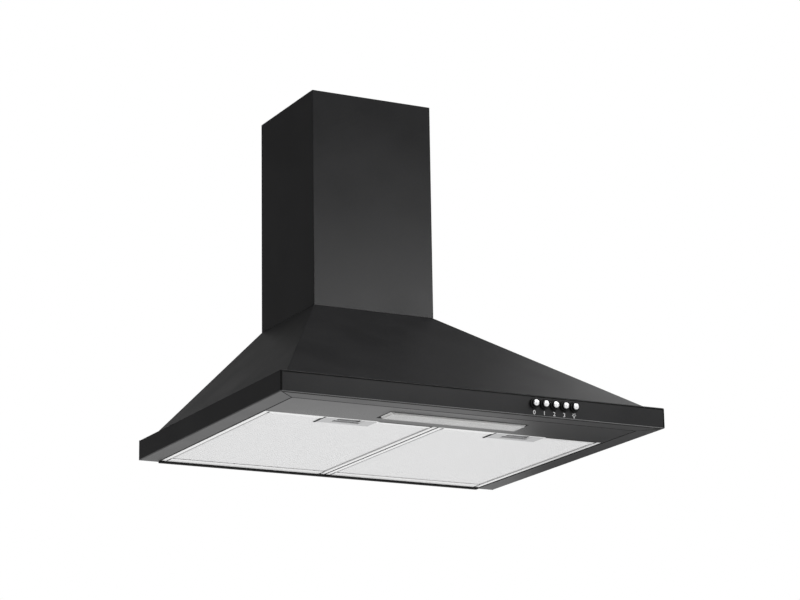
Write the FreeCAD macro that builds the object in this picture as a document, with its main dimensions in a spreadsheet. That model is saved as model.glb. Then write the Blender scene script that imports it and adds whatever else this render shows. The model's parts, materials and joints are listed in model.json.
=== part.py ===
import FreeCAD, Part
import math
import os
import re
import Sketcher
from FreeCAD import Placement, Rotation, Vector

# A wall-mounted chimney range hood: a folded canopy with two grease filters and a lamp in its underside,
# a centrifugal blower inside, and a telescopic chimney above.
# Millimetres. X runs to the right, Y into the wall, whose face is y = 0, and Z up.
# Levels are measured from the underside of the rim while the pieces are drawn. Each finished piece is then
# lowered by hang_level, so that the origin lies midway between the two hanging holes.

SIZES = {
    # canopy: rim band, flat ledge and pyramid
    "hood_width": 600,
    "hood_depth": 500,
    "rim_height": 30,
    "canopy_height": 215,
    "ledge": 14,
    "sheet": 1,
    "bend_radius": 1.6,
    "lip_width": 30,
    "lip_upturn": 8,
    "back_lip": 8,
    "back_flange": 12,
    "top_flange": 12,
    # wall fixing
    "hang_level": 165,
    "hang_spacing": 210,
    "keyhole_head": 12,
    "keyhole_neck": 6,
    "keyhole_slot": 14,
    # chimney: outer and inner section, wall bracket
    "chimney_width": 200,
    "chimney_depth": 185,
    "total_height": 550,
    "flue_sheet": 0.8,
    "flue_bend": 1.4,
    "flue_lip": 14,
    "flue_seam": 0.4,
    "flue_gap": 0.6,
    "inner_flue_length": 307,
    "inner_flue_drop": 3,
    "vent_slot_length": 90,
    "vent_slot_height": 5,
    "vent_slot_pitch": 12,
    "bracket_drop": 26,
    "bracket_height": 24,
    "bracket_sheet": 2,
    "bracket_step": 12,
    "bracket_ear": 22,
    "bracket_hole": 6,
    "bracket_hole_spacing": 120,
    # front strip of the underside, with the lamp
    "panel_gap": 0.6,
    "panel_upturn": 14,
    "catch_height": 7,
    "strip_width": 90,
    "lamp_length": 215,
    "lamp_depth": 33,
    "lamp_setback": 28,
    "lamp_gap": 0.7,
    "lens_drop": 3,
    "lens_wall": 1.3,
    "lens_inset": 1.2,
    "lens_corner": 2,
    "lamp_box_height": 35,
    "lamp_box_side": 13,
    "lamp_box_margin": 4,
    "lamp_box_sheet": 0.8,
    "bulb_start": -95,
    "bulb_pitch": 120,
    "bulb_length": 37,
    "bulb_radius": 11,
    "bulb_neck_length": 9,
    "bulb_neck_radius": 7.6,
    "bulb_level": 17,
    "bulb_cap_length": 11,
    "bulb_cap_radius": 7,
    "lamp_holder_length": 12,
    "lamp_holder_width": 24,
    "lamp_holder_bottom": 6,
    # grease filters and their latches
    "filter_gap": 1,
    "filter_level": 0.4,
    "filter_height": 10,
    "filter_wall": 0.8,
    "filter_border": 9,
    "filter_skin": 0.4,
    "crimp_count": 12,
    "crimp_thickness": 0.5,
    "filter_clearance": 0.3,
    "lug_width": 24,
    "lug_spread": 90,
    "lug_length": 6,
    "lug_thickness": 1.4,
    "latch_width": 80,
    "latch_depth": 36,
    "latch_wall": 1.6,
    "latch_roof": 1.4,
    "slide_width": 42,
    "slide_depth": 17,
    "slide_wall": 3,
    "slide_level": 0.4,
    "slide_travel": 8,
    "tongue_width": 24,
    "tongue_thickness": 1.3,
    "tongue_reach": 0.3,
    "latch_clearance": 0.3,
    "spring_thickness": 0.5,
    "spring_width": 4,
    # push buttons in the rim band
    "button_first": 86.5,
    "button_pitch": 16,
    "button_level": 17.7,
    "button_reach": 8,
    "cap_radius": 4.3,
    "round_sides": 16,
    "cap_thickness": 3,
    "stem_width": 5,
    "stem_length": 21,
    "nozzle_width": 8.8,
    "nozzle_reach": 1.1,
    "nozzle_clearance": 0.2,
    "stem_clearance": 0.3,
    "switch_length": 90,
    "switch_height": 20,
    "switch_depth": 25,
    "switch_bore_depth": 21,
    # blower: wheel, volute, motor and its bracket
    "wheel_radius": 56,
    "wheel_width": 66,
    "wheel_eye": 47,
    "wheel_disc": 1.6,
    "wheel_ring": 1.6,
    "wheel_axis_front": 130,
    "wheel_level": 118,
    "blade_count": 16,
    "blade_thickness": 1,
    "blade_lead": 7,
    "blade_hook": 2,
    "hub_radius": 9,
    "hub_length": 18,
    "shaft_radius": 4,
    "shaft_length": 44,
    "shaft_clearance": 0.3,
    "volute_start": 66,
    "volute_step": 9,
    "volute_width": 90,
    "volute_wall": 2,
    "volute_flange": 10,
    "inlet_radius": 46,
    "outlet_front": 142,
    "motor_radius": 34,
    "motor_length": 52,
    "bracket_plate": 2,
    "arm_width": 14,
    "bush_width": 11,
    "bush_circle": 55,
    "bush_length": 15,
    "grille_bar": 3,
    "grille_sheet": 1.5,
    "grille_overlap": 6,
    "carrier_sheet": 1.5,
    "carrier_gap": 2,
    "screw_head": 3.6,
    "screw_head_height": 2.4,
    # duct spigot with its pair of backdraught flaps
    "spigot_radius": 60,
    "spigot_wall": 2.5,
    "spigot_height": 60,
    "spigot_flange": 132,
    "spigot_flange_thickness": 2,
    "flap_level": 16,
    "flap_thickness": 1,
    "flap_margin": 0.7,
    "flap_ledge": 3.5,
    "axle_radius": 1.5,
    "axle_aside": 2.2,
    "axle_clearance": 0.3,
    "bridge_width": 6,
    "bridge_height": 3,
    # electrical pieces on the back panel
    "capacitor_width": 38,
    "capacitor_depth": 22,
    "capacitor_height": 50,
    "capacitor_aside": 100,
    "capacitor_level": 60,
    "clip_sheet": 1.2,
    "clip_width": 14,
    "clip_foot": 12,
    "clip_clearance": 0.3,
    "terminal_aside": 98,
    "terminal_level": 70,
    "terminal_length": 72,
    "terminal_height": 44,
    "terminal_depth": 28,
    "terminal_wall": 1.8,
    "terminal_clearance": 0.3,
    "cord_nozzle": 15,
    "cord_bore": 7.2,
    "cord_nozzle_clearance": 0.3,
}

# Places that several pieces share, worked out from the sizes above.
PLACES = {
    "half_width": "hood_width / 2",
    "chimney_half": "chimney_width / 2",
    "lip_inner": "half_width - lip_width",
    "lip_front": "hood_depth - lip_width",
    "rise": "canopy_height - rim_height",
    "side_run": "half_width - ledge - chimney_half",
    "front_run": "hood_depth - ledge - chimney_depth",
    "side_skin": "sheet * sqrt(side_run ^ 2 + rise ^ 2) / rise",
    "front_skin": "sheet * sqrt(front_run ^ 2 + rise ^ 2) / rise",
    "side_lean": "side_run / rise",
    "front_lean": "front_run / rise",
    "filter_front": "lip_front - strip_width",
    "lamp_front": "lip_front - lamp_setback",
    "panel_rear": "filter_front + panel_gap",
    "panel_half": "lip_inner - panel_gap",
    "lamp_rear": "lamp_front - lamp_depth",
    "lamp_middle": "lamp_front - lamp_depth / 2",
    "lamp_box_left": "bulb_start - bulb_cap_length - lamp_holder_length - lamp_box_side + 10",
    "lamp_box_right": "lamp_length / 2 + lamp_box_margin",
    "filter_width": "lip_inner - 1.5 * filter_gap",
    "filter_rear": "back_lip + filter_gap",
    "filter_top": "filter_level + filter_height",
    "filter_middle": "filter_gap / 2 + filter_width / 2",
    "latch_rear": "filter_front - latch_depth",
    "latch_ceiling": "filter_top - latch_roof",
    "wheel_y": "-wheel_axis_front",
    "outlet_level": "canopy_height - sheet - carrier_sheet",
    "carrier_top": "canopy_height - sheet",
    "volute_half": "volute_width / 2",
    "outlet_rear": "wheel_axis_front - volute_start - 2.5 * volute_step",
    "spigot_y": "-(outlet_front + outlet_rear) / 2",
    "spigot_top": "carrier_top + spigot_height",
    "flap_seat": "carrier_top + flap_level",
    "collar_bore": "spigot_radius - spigot_wall",
    "collar_ledge": "collar_bore - flap_ledge",
    "notch_level": "flap_seat - axle_radius - axle_clearance",
    "bracket_x": "volute_half + bush_length",
    "flue_bottom": "canopy_height + flue_seam",
    "inner_flue_top": "total_height - inner_flue_drop",
    "inner_flue_bottom": "inner_flue_top - inner_flue_length",
    "inner_flue_half": "chimney_half - flue_sheet - flue_gap",
    "inner_flue_front": "chimney_depth - flue_sheet - flue_gap",
    "inner_flue_back": "flue_sheet + flue_gap",
    "bracket_top": "total_height - bracket_drop",
    "button_last": "button_first + 4 * button_pitch",
    "button_middle": "(button_first + button_last) / 2",
    "cap_rear": "hood_depth + button_reach - cap_thickness",
    "terminal_right": "terminal_aside + terminal_length",
    "terminal_top": "terminal_level + terminal_height",
    "terminal_middle": "terminal_aside + terminal_length / 2",
    "terminal_middle_level": "terminal_level + terminal_height / 2",
}

document = FreeCAD.newDocument("chimney_hood")
sheet = document.addObject("Spreadsheet::Sheet", "sizes")
places = document.addObject("Spreadsheet::Sheet", "places")
finished = []


# An expression is written with plain size names, and each name is led by the sheet that holds it.
def bound(text, own_sheet=None):
    def with_sheet(match):
        name = match.group()
        if name in SIZES:
            return "sizes." + name
        if name in PLACES and own_sheet is not places:
            return "places." + name
        return name
    return re.sub(r"[a-z]+(?:_[a-z]+)*", with_sheet, text)


def value(text):
    return float(places.evalExpression(bound(text)))


def bind(item, path, text):
    item.setExpression(path, bound(text))


for row, (name, size) in enumerate(SIZES.items(), start=1):
    sheet.set("A%d" % row, name)
    sheet.set("B%d" % row, str(size))
    sheet.setAlias("B%d" % row, name)
for row, (name, formula) in enumerate(PLACES.items(), start=1):
    places.set("A%d" % row, name)
    places.set("B%d" % row, "=" + bound(formula, places))
    places.setAlias("B%d" % row, name)
document.recompute()


# ---- plain solids and booleans

def box(name, x_range, y_range, z_range):
    item = document.addObject("Part::Box", name)
    for side, axis, (low, high) in zip(("Length", "Width", "Height"), "xyz", (x_range, y_range, z_range)):
        bind(item, side, "(%s) - (%s)" % (high, low))
        bind(item, "Placement.Base." + axis, low)
    return item


# A cylinder that starts at a point and runs along +X, +Y or +Z.
def rod(name, axis, start, radius, length):
    item = document.addObject("Part::Cylinder", name)
    along = {"x": Vector(1, 0, 0), "y": Vector(0, 1, 0), "z": Vector(0, 0, 1)}[axis]
    item.Placement = Placement(Vector(), Rotation(Vector(0, 0, 1), along))
    bind(item, "Radius", radius)
    bind(item, "Height", length)
    for letter, text in zip("xyz", start):
        bind(item, "Placement.Base." + letter, text)
    return item


# A prism on a regular polygon. It stands on a spot and points along -X, +X, -Y, +Z or -Z.
def prism(name, way, spot, sides, radius, length):
    item = document.addObject("Part::Prism", name)
    along = {"-x": Vector(-1, 0, 0), "+x": Vector(1, 0, 0), "-y": Vector(0, -1, 0),
             "+z": Vector(0, 0, 1), "-z": Vector(0, 0, -1)}[way]
    item.Placement = Placement(Vector(), Rotation(Vector(0, 0, 1), along))
    bind(item, "Polygon", sides)
    bind(item, "Circumradius", radius)
    bind(item, "Height", length)
    for letter, text in zip("xyz", spot):
        bind(item, "Placement.Base." + letter, text)
    return item


def hex_head(name, way, spot):
    return prism(name, way, spot, "6", "screw_head", "screw_head_height")


def fuse(name, pieces):
    item = document.addObject("Part::MultiFuse", name)
    item.Shapes = pieces
    return item


def cut(name, base, tools):
    item = document.addObject("Part::Cut", name)
    item.Base = base
    item.Tool = tools[0] if len(tools) == 1 else fuse(name + "_cutters", tools)
    return item


def group(name, pieces):
    item = document.addObject("Part::Compound", name)
    item.Links = pieces
    return item


# ---- sketches and the features made from them

# A corner is (x, y). With a third entry, "left" or "right", and a radius, the side that follows it is an arc
# whose centre lies on that hand. A ring is ("ring", x, y, radius).
def add_outline(sketch, corners):
    points = [Vector(value(corner[0]), value(corner[1]), 0) for corner in corners]
    first = sketch.GeometryCount
    ends = []
    for index, corner in enumerate(corners):
        start = points[index]
        end = points[(index + 1) % len(points)]
        if len(corner) == 2:
            sketch.addGeometry(Part.LineSegment(start, end), False)
            ends.append((1, 2))
            continue
        hand = 1 if corner[2] == "left" else -1
        radius = value(corner[3])
        chord = end - start
        across = Vector(-chord.y, chord.x, 0).normalize() * hand
        reach = math.sqrt(max(radius ** 2 - (chord.Length / 2) ** 2, 0))
        centre = (start + end) / 2 + across * reach
        low, high = (start, end) if hand > 0 else (end, start)
        angles = [math.atan2(point.y - centre.y, point.x - centre.x) for point in (low, high)]
        circle = Part.Circle(centre, Vector(0, 0, 1), radius)
        sketch.addGeometry(Part.ArcOfCircle(circle, angles[0], angles[1]), False)
        ends.append((1, 2) if hand > 0 else (2, 1))
    for index, corner in enumerate(corners):
        side = first + index
        following = first + (index + 1) % len(corners)
        head = ends[(index + 1) % len(corners)][0]
        sketch.addConstraint(Sketcher.Constraint("Coincident", side, ends[index][1], following, head))
        for kind, text, length in (("DistanceX", corner[0], points[index].x),
                                   ("DistanceY", corner[1], points[index].y)):
            number = sketch.addConstraint(Sketcher.Constraint(kind, -1, 1, side, ends[index][0], length))
            bind(sketch, "Constraints[%d]" % number, text)
        if len(corner) > 2:
            number = sketch.addConstraint(Sketcher.Constraint("Radius", side, value(corner[3])))
            bind(sketch, "Constraints[%d]" % number, corner[3])


def add_ring(sketch, x, y, radius):
    centre = Vector(value(x), value(y), 0)
    side = sketch.addGeometry(Part.Circle(centre, Vector(0, 0, 1), value(radius)), False)
    for kind, text, length in (("DistanceX", x, centre.x), ("DistanceY", y, centre.y)):
        number = sketch.addConstraint(Sketcher.Constraint(kind, -1, 1, side, 3, length))
        bind(sketch, "Constraints[%d]" % number, text)
    number = sketch.addConstraint(Sketcher.Constraint("Radius", side, value(radius)))
    bind(sketch, "Constraints[%d]" % number, radius)


def rectangle(x_range, y_range):
    return [(x_range[0], y_range[0]), (x_range[1], y_range[0]),
            (x_range[1], y_range[1]), (x_range[0], y_range[1])]


def square(x, y, half):
    return rectangle(("%s - (%s)" % (x, half), "%s + %s" % (x, half)),
                     ("%s - (%s)" % (y, half), "%s + %s" % (y, half)))


# The sketch lies on one of its own body's planes, moved by origin in the plane's own axes: the third of
# these runs along +Z for "XY_Plane", away from the wall for "XZ_Plane" and along +X for "YZ_Plane".
def draw(body, plane, origin, outlines):
    sketch = body.newObject("Sketcher::SketchObject", body.Name + "_sketch")
    support = [item for item in body.Origin.OriginFeatures if item.Role == plane][0]
    sketch.AttachmentSupport = [(support, "")]
    sketch.MapMode = "FlatFace"
    for letter, text in zip("xyz", origin):
        if text != "0":
            bind(sketch, "AttachmentOffset.Base." + letter, text)
    for outline in outlines:
        if outline[0] == "ring":
            add_ring(sketch, *outline[1:])
        else:
            add_outline(sketch, outline)
    return sketch


def new_body(name):
    return document.addObject("PartDesign::Body", name)


# side is "along" or "against" the sketch's own normal.
def pad(body, sketch, length, side="along"):
    feature = body.newObject("PartDesign::Pad", body.Name + "_pad")
    feature.Profile = sketch
    feature.Reversed = side == "against"
    bind(feature, "Length", length)
    return feature


def pocket(body, sketch, length, side="against"):
    feature = body.newObject("PartDesign::Pocket", body.Name + "_pocket")
    feature.Profile = sketch
    feature.Reversed = side == "along"
    bind(feature, "Length", length)
    return feature


# A four-sided pyramid between two levels. Each end is (half width, nearest and farthest from the wall).
def wedge(body, kind, levels, base, crown):
    feature = body.newObject("PartDesign::" + kind, body.Name + "_wedge")
    support = [item for item in body.Origin.OriginFeatures if item.Role == "XZ_Plane"][0]
    feature.AttachmentSupport = [(support, "")]
    feature.MapMode = "FlatFace"
    limits = {"Ymin": levels[0], "Ymax": levels[1], "Xmin": "-(%s)" % base[0], "Xmax": base[0],
              "X2min": "-(%s)" % crown[0], "X2max": crown[0], "Zmin": base[1], "Zmax": base[2],
              "Z2min": crown[1], "Z2max": crown[2]}
    for limit, text in limits.items():
        bind(feature, limit, text)
    return feature


def around(body, original, sketch, count):
    feature = body.newObject("PartDesign::PolarPattern", body.Name + "_pattern")
    feature.Originals = [original]
    feature.Axis = (sketch, ["N_Axis"])
    feature.Angle = 360
    bind(feature, "Occurrences", count)
    body.Tip = feature
    return feature


# A turned piece: its half section spun about one axis of its own sketch.
def turned(name, plane, origin, axis, corners):
    body = new_body(name)
    sketch = draw(body, plane, origin, [corners])
    feature = body.newObject("PartDesign::Revolution", name + "_turning")
    feature.Profile = sketch
    feature.ReferenceAxis = (sketch, [axis])
    feature.Angle = 360
    return body


def fillet(body, chosen, radius):
    document.recompute()
    base = body.Tip
    names = ["Edge%d" % (number + 1) for number, edge in enumerate(base.Shape.Edges) if chosen(edge)]
    feature = body.newObject("PartDesign::Fillet", body.Name + "_fillet")
    feature.Base = (base, names)
    bind(feature, "Radius", radius)
    return feature


# Names a finished piece and lowers it from its drawing level.
def finish(item, label):
    item.Label = label
    lowered = [text for path, text in item.ExpressionEngine if path.strip(".") == "Placement.Base.z"]
    level = lowered[0] if lowered else "0"
    item.setExpression("Placement.Base.z", "%s - %s" % (level, bound("hang_level")))
    finished.append(item)
    return item


# ---- canopy

def canopy_silhouette(inset):
    half = "half_width - " + inset
    base = "half_width - ledge - " + inset
    return [("-(%s)" % half, inset), (half, inset), (half, "rim_height - " + inset),
            (base, "rim_height - " + inset), ("chimney_half - " + inset, "canopy_height - " + inset),
            ("-(chimney_half - %s)" % inset, "canopy_height - " + inset),
            ("-(%s)" % base, "rim_height - " + inset), ("-(%s)" % half, "rim_height - " + inset)]


def centred(half):
    return ("-(%s)" % half, half)


def make_canopy_shell():
    body = new_body("canopy_shell")
    plan = rectangle(centred("half_width"), ("-hood_depth", "-sheet"))
    pad(body, draw(body, "XY_Plane", ("0", "0", "0"), [plan]), "rim_height")
    wedge(body, "AdditiveWedge", ("rim_height", "canopy_height"),
          ("half_width - ledge", "sheet", "hood_depth - ledge"), ("chimney_half", "sheet", "chimney_depth"))

    # every outside bend: along the three free sides of the rim, and the two hips
    wall = -value("sheet")
    nose = -value("hood_depth")
    half = value("half_width")
    ridge = value("rim_height")

    def is_bend(edge):
        ends = [vertex.Point for vertex in edge.Vertexes]
        if all(abs(point.y - wall) < 0.01 for point in ends):
            return False
        level = max(point.z for point in ends) - min(point.z for point in ends) < 0.01
        on_rim = level and all(abs(point.y - nose) < 0.01 or abs(abs(point.x) - half) < 0.01
                               for point in ends)
        hip = max(point.z for point in ends) > ridge + 1 and min(point.z for point in ends) < ridge + 1
        return on_rim or (hip and all(point.y < wall - 1 for point in ends))

    fillet(body, is_bend, "bend_radius")

    hollow = rectangle(centred("half_width - sheet"), ("-(hood_depth - sheet)", "0"))
    pocket(body, draw(body, "XY_Plane", ("0", "0", "sheet"), [hollow]), "rim_height - 2 * sheet", "along")
    side = "sheet * side_lean - side_skin"
    front = "sheet * front_lean - front_skin"
    wedge(body, "SubtractiveWedge", ("rim_height - sheet", "canopy_height - sheet"),
          ("half_width - ledge + " + side, "0", "hood_depth - ledge + " + front),
          ("chimney_half + " + side, "0", "chimney_depth + " + front))

    # flange turned in behind, which carries the back panel
    reach = "half_width - ledge - back_flange * side_skin / sheet"
    opening = [("-(%s + (rim_height - back_flange) * side_lean)" % reach, "back_flange"),
               ("%s + (rim_height - back_flange) * side_lean" % reach, "back_flange"),
               ("%s - (rise - top_flange) * side_lean" % reach, "canopy_height - top_flange"),
               ("-(%s - (rise - top_flange) * side_lean)" % reach, "canopy_height - top_flange")]
    flange = draw(body, "XZ_Plane", ("0", "0", "sheet"), [canopy_silhouette("sheet / 2"), opening])
    pad(body, flange, "sheet")

    # the lip folded under the rim, its opening, and the edge turned up round that
    mouth = rectangle(centred("lip_inner"), ("-lip_front", "-back_lip"))
    pocket(body, draw(body, "XY_Plane", ("0", "0", "0"), [mouth]), "2 * sheet", "along")
    edge = rectangle(centred("lip_inner + sheet"), ("-(lip_front + sheet)", "-(back_lip - sheet)"))
    pad(body, draw(body, "XY_Plane", ("0", "0", "0"), [edge, mouth]), "lip_upturn")

    outlet = rectangle(centred("chimney_half - top_flange"),
                       ("-(chimney_depth - top_flange)", "-top_flange"))
    pocket(body, draw(body, "XY_Plane", ("0", "0", "canopy_height"), [outlet]), "2 * sheet")

    holes = [square(x, "button_level", "nozzle_width / 2 + nozzle_clearance") for x in button_places()]
    pocket(body, draw(body, "XZ_Plane", ("0", "0", "hood_depth"), holes), "2 * sheet")
    return finish(body, "canopy_shell")


def carrier_screw_places():
    x = "(chimney_half - top_flange / 2 - sheet)"
    near = "-(top_flange / 2 + sheet)"
    far = "-(chimney_depth - top_flange / 2)"
    return [("-" + x, near), (x, near), (x, far), ("-" + x, far)]


def button_places():
    return ["button_first + %d * button_pitch" % number for number in range(5)]


def panel_screw_places():
    low = "(half_width - ledge)"
    high = "(chimney_half + (canopy_height - hang_level) * side_lean - 0.7 * back_flange)"
    return [(low, "0.7 * rim_height"), ("-" + low, "0.7 * rim_height"),
            (high, "hang_level"), ("-" + high, "hang_level"),
            ("0.5 * half_width", "0.55 * back_flange"), ("-0.5 * half_width", "0.55 * back_flange")]


def make_back_panel():
    body = new_body("back_panel")
    pad(body, draw(body, "XZ_Plane", ("0", "0", "0"), [canopy_silhouette("0")]), "sheet")
    rings = []
    slots = []
    for side in ("-", ""):
        x = side + "hang_spacing / 2"
        rings.append(("ring", x, "hang_level", "keyhole_head / 2"))
        left = x + " - keyhole_neck / 2"
        right = x + " + keyhole_neck / 2"
        top = "hang_level + keyhole_slot"
        slots.append([(left, "hang_level"), (right, "hang_level"),
                      (right, top, "left", "keyhole_neck / 2"),
                      (x, top + " + keyhole_neck / 2", "left", "keyhole_neck / 2"), (left, top)])
    slots.append(square("terminal_middle", "terminal_middle_level",
                        "cord_nozzle / 2 + cord_nozzle_clearance"))
    pocket(body, draw(body, "XZ_Plane", ("0", "0", "0"), rings), "2 * sheet", "along")
    pocket(body, draw(body, "XZ_Plane", ("0", "0", "0"), slots), "2 * sheet", "along")
    return finish(body, "back_panel")


# The screws that hold the back panel, their heads on the inside of the shell's flange.
def make_panel_screws():
    heads = [hex_head("panel_screw_%d" % number, "-y", (x, "-2 * sheet", z))
             for number, (x, z) in enumerate(panel_screw_places())]
    return finish(group("panel_screws", heads), "panel_screws")


# ---- underside

def make_bottom_panel():
    body = new_body("bottom_panel")
    front = "-(lip_front - panel_gap)"
    rear = "-panel_rear"
    section = [(front, "0"), (rear, "0"), (rear, "catch_height"), (rear + " - sheet", "catch_height"),
               (rear + " - sheet", "sheet"), (front + " + sheet", "sheet"),
               (front + " + sheet", "panel_upturn"), (front, "panel_upturn")]
    pad(body, draw(body, "YZ_Plane", ("0", "0", "-panel_half"), [section]), "2 * panel_half")
    window = rectangle(centred("lamp_length / 2 + lamp_gap"),
                       ("-(lamp_front + lamp_gap)", "-(lamp_rear - lamp_gap)"))
    pocket(body, draw(body, "XY_Plane", ("0", "0", "0"), [window]), "2 * sheet", "along")
    return finish(body, "bottom_panel")


# A folded channel over the lamps, closed by a plate at each end.
def make_lamp_housing():
    wall = "lamp_box_sheet"
    front = "-(lamp_front + lamp_box_margin)"
    rear = "-(lamp_rear - lamp_box_margin)"
    top = "sheet + lamp_box_height"
    outer = box("lamp_box_outer", ("lamp_box_left", "lamp_box_right"), (front, rear), ("sheet", top))
    inside = (front + " + " + wall, rear + " - " + wall)
    inner = box("lamp_box_inner", ("lamp_box_left - 1", "lamp_box_right + 1"), inside,
                ("0", top + " - " + wall))
    finish(cut("lamp_housing", outer, [inner]), "lamp_housing")
    ends = [box("lamp_box_end_%d" % number, x_range, inside, ("sheet", top + " - " + wall))
            for number, x_range in enumerate((("lamp_box_left", "lamp_box_left + " + wall),
                                              ("lamp_box_right - " + wall, "lamp_box_right")))]
    finish(group("lamp_housing_ends", ends), "lamp_housing_ends")


# The clear cover: a shallow tray with cut corners, hinged along its rear edge.
def make_lamp_lens():
    body = new_body("lamp_lens")
    x = "lamp_length / 2"
    front = "-lamp_front"
    rear = "-lamp_rear"
    outline = [("-%s + lens_corner" % x, front), (x + " - lens_corner", front),
               (x, front + " + lens_corner"), (x, rear + " - lens_corner"),
               (x + " - lens_corner", rear), ("-%s + lens_corner" % x, rear),
               ("-" + x, rear + " - lens_corner"), ("-" + x, front + " + lens_corner")]
    pad(body, draw(body, "XY_Plane", ("0", "0", "-lens_drop"), [outline]), "lens_drop + lens_inset")
    hollow = rectangle(centred(x + " - lens_wall"), (front + " + lens_wall", rear + " - lens_wall"))
    pocket(body, draw(body, "XY_Plane", ("0", "0", "-lens_drop + lens_wall"), [hollow]),
           "lens_drop + lens_inset", "along")
    return finish(body, "lamp_lens")


# Two lamps lie end to end: each bulb's cap stands in the face of its holder.
def make_lamps():
    holders = []
    caps = []
    bulbs = []
    y = "-lamp_middle"
    for number in range(2):
        start = "(bulb_start + %d * bulb_pitch)" % number
        cap_start = start + " - bulb_cap_length"
        holders.append(box("lamp_holder_%d" % number, (cap_start + " - lamp_holder_length", cap_start),
                           ("%s - lamp_holder_width / 2" % y, "%s + lamp_holder_width / 2" % y),
                           ("lamp_holder_bottom", "sheet + lamp_box_height - lamp_box_sheet")))
        caps.append(prism("bulb_cap_%d" % number, "+x", (cap_start, y, "bulb_level"), "round_sides",
                          "bulb_cap_radius", "bulb_cap_length"))
        neck = prism("bulb_neck_%d" % number, "+x", (start, y, "bulb_level"), "round_sides",
                     "bulb_neck_radius", "bulb_neck_length")
        body = prism("bulb_body_%d" % number, "+x", (start + " + bulb_neck_length", y, "bulb_level"),
                     "round_sides", "bulb_radius", "bulb_length - bulb_neck_length")
        bulbs.append(fuse("bulb_%d" % number, [neck, body]))
    finish(group("lamp_holders", holders), "lamp_holders")
    finish(group("bulb_caps", caps), "bulb_caps")
    finish(group("bulbs", bulbs), "bulbs")


# ---- grease filters

# The pack between a filter's skins: one sheet of mesh crimped up and down, its folds touching both skins.
def crimped_sheet(name, x_range, y_range, z_range):
    left, right = [value(text) for text in x_range]
    front, rear = [value(text) for text in y_range]
    low, high = [value(text) for text in z_range]
    thickness = value("crimp_thickness")
    folds = 2 * int(value("crimp_count"))
    tops = []
    for number in range(folds + 1):
        x = left + (right - left) * number / folds
        level = high if number % 2 else low + thickness
        tops.append(Vector(x, front, level))
    bottoms = [top - Vector(0, 0, thickness) for top in reversed(tops)]
    outline = Part.makePolygon(tops + bottoms + tops[:1])
    item = document.addObject("Part::Feature", name)
    item.Shape = Part.Face(outline).extrude(Vector(0, rear - front, 0))
    return item


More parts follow.
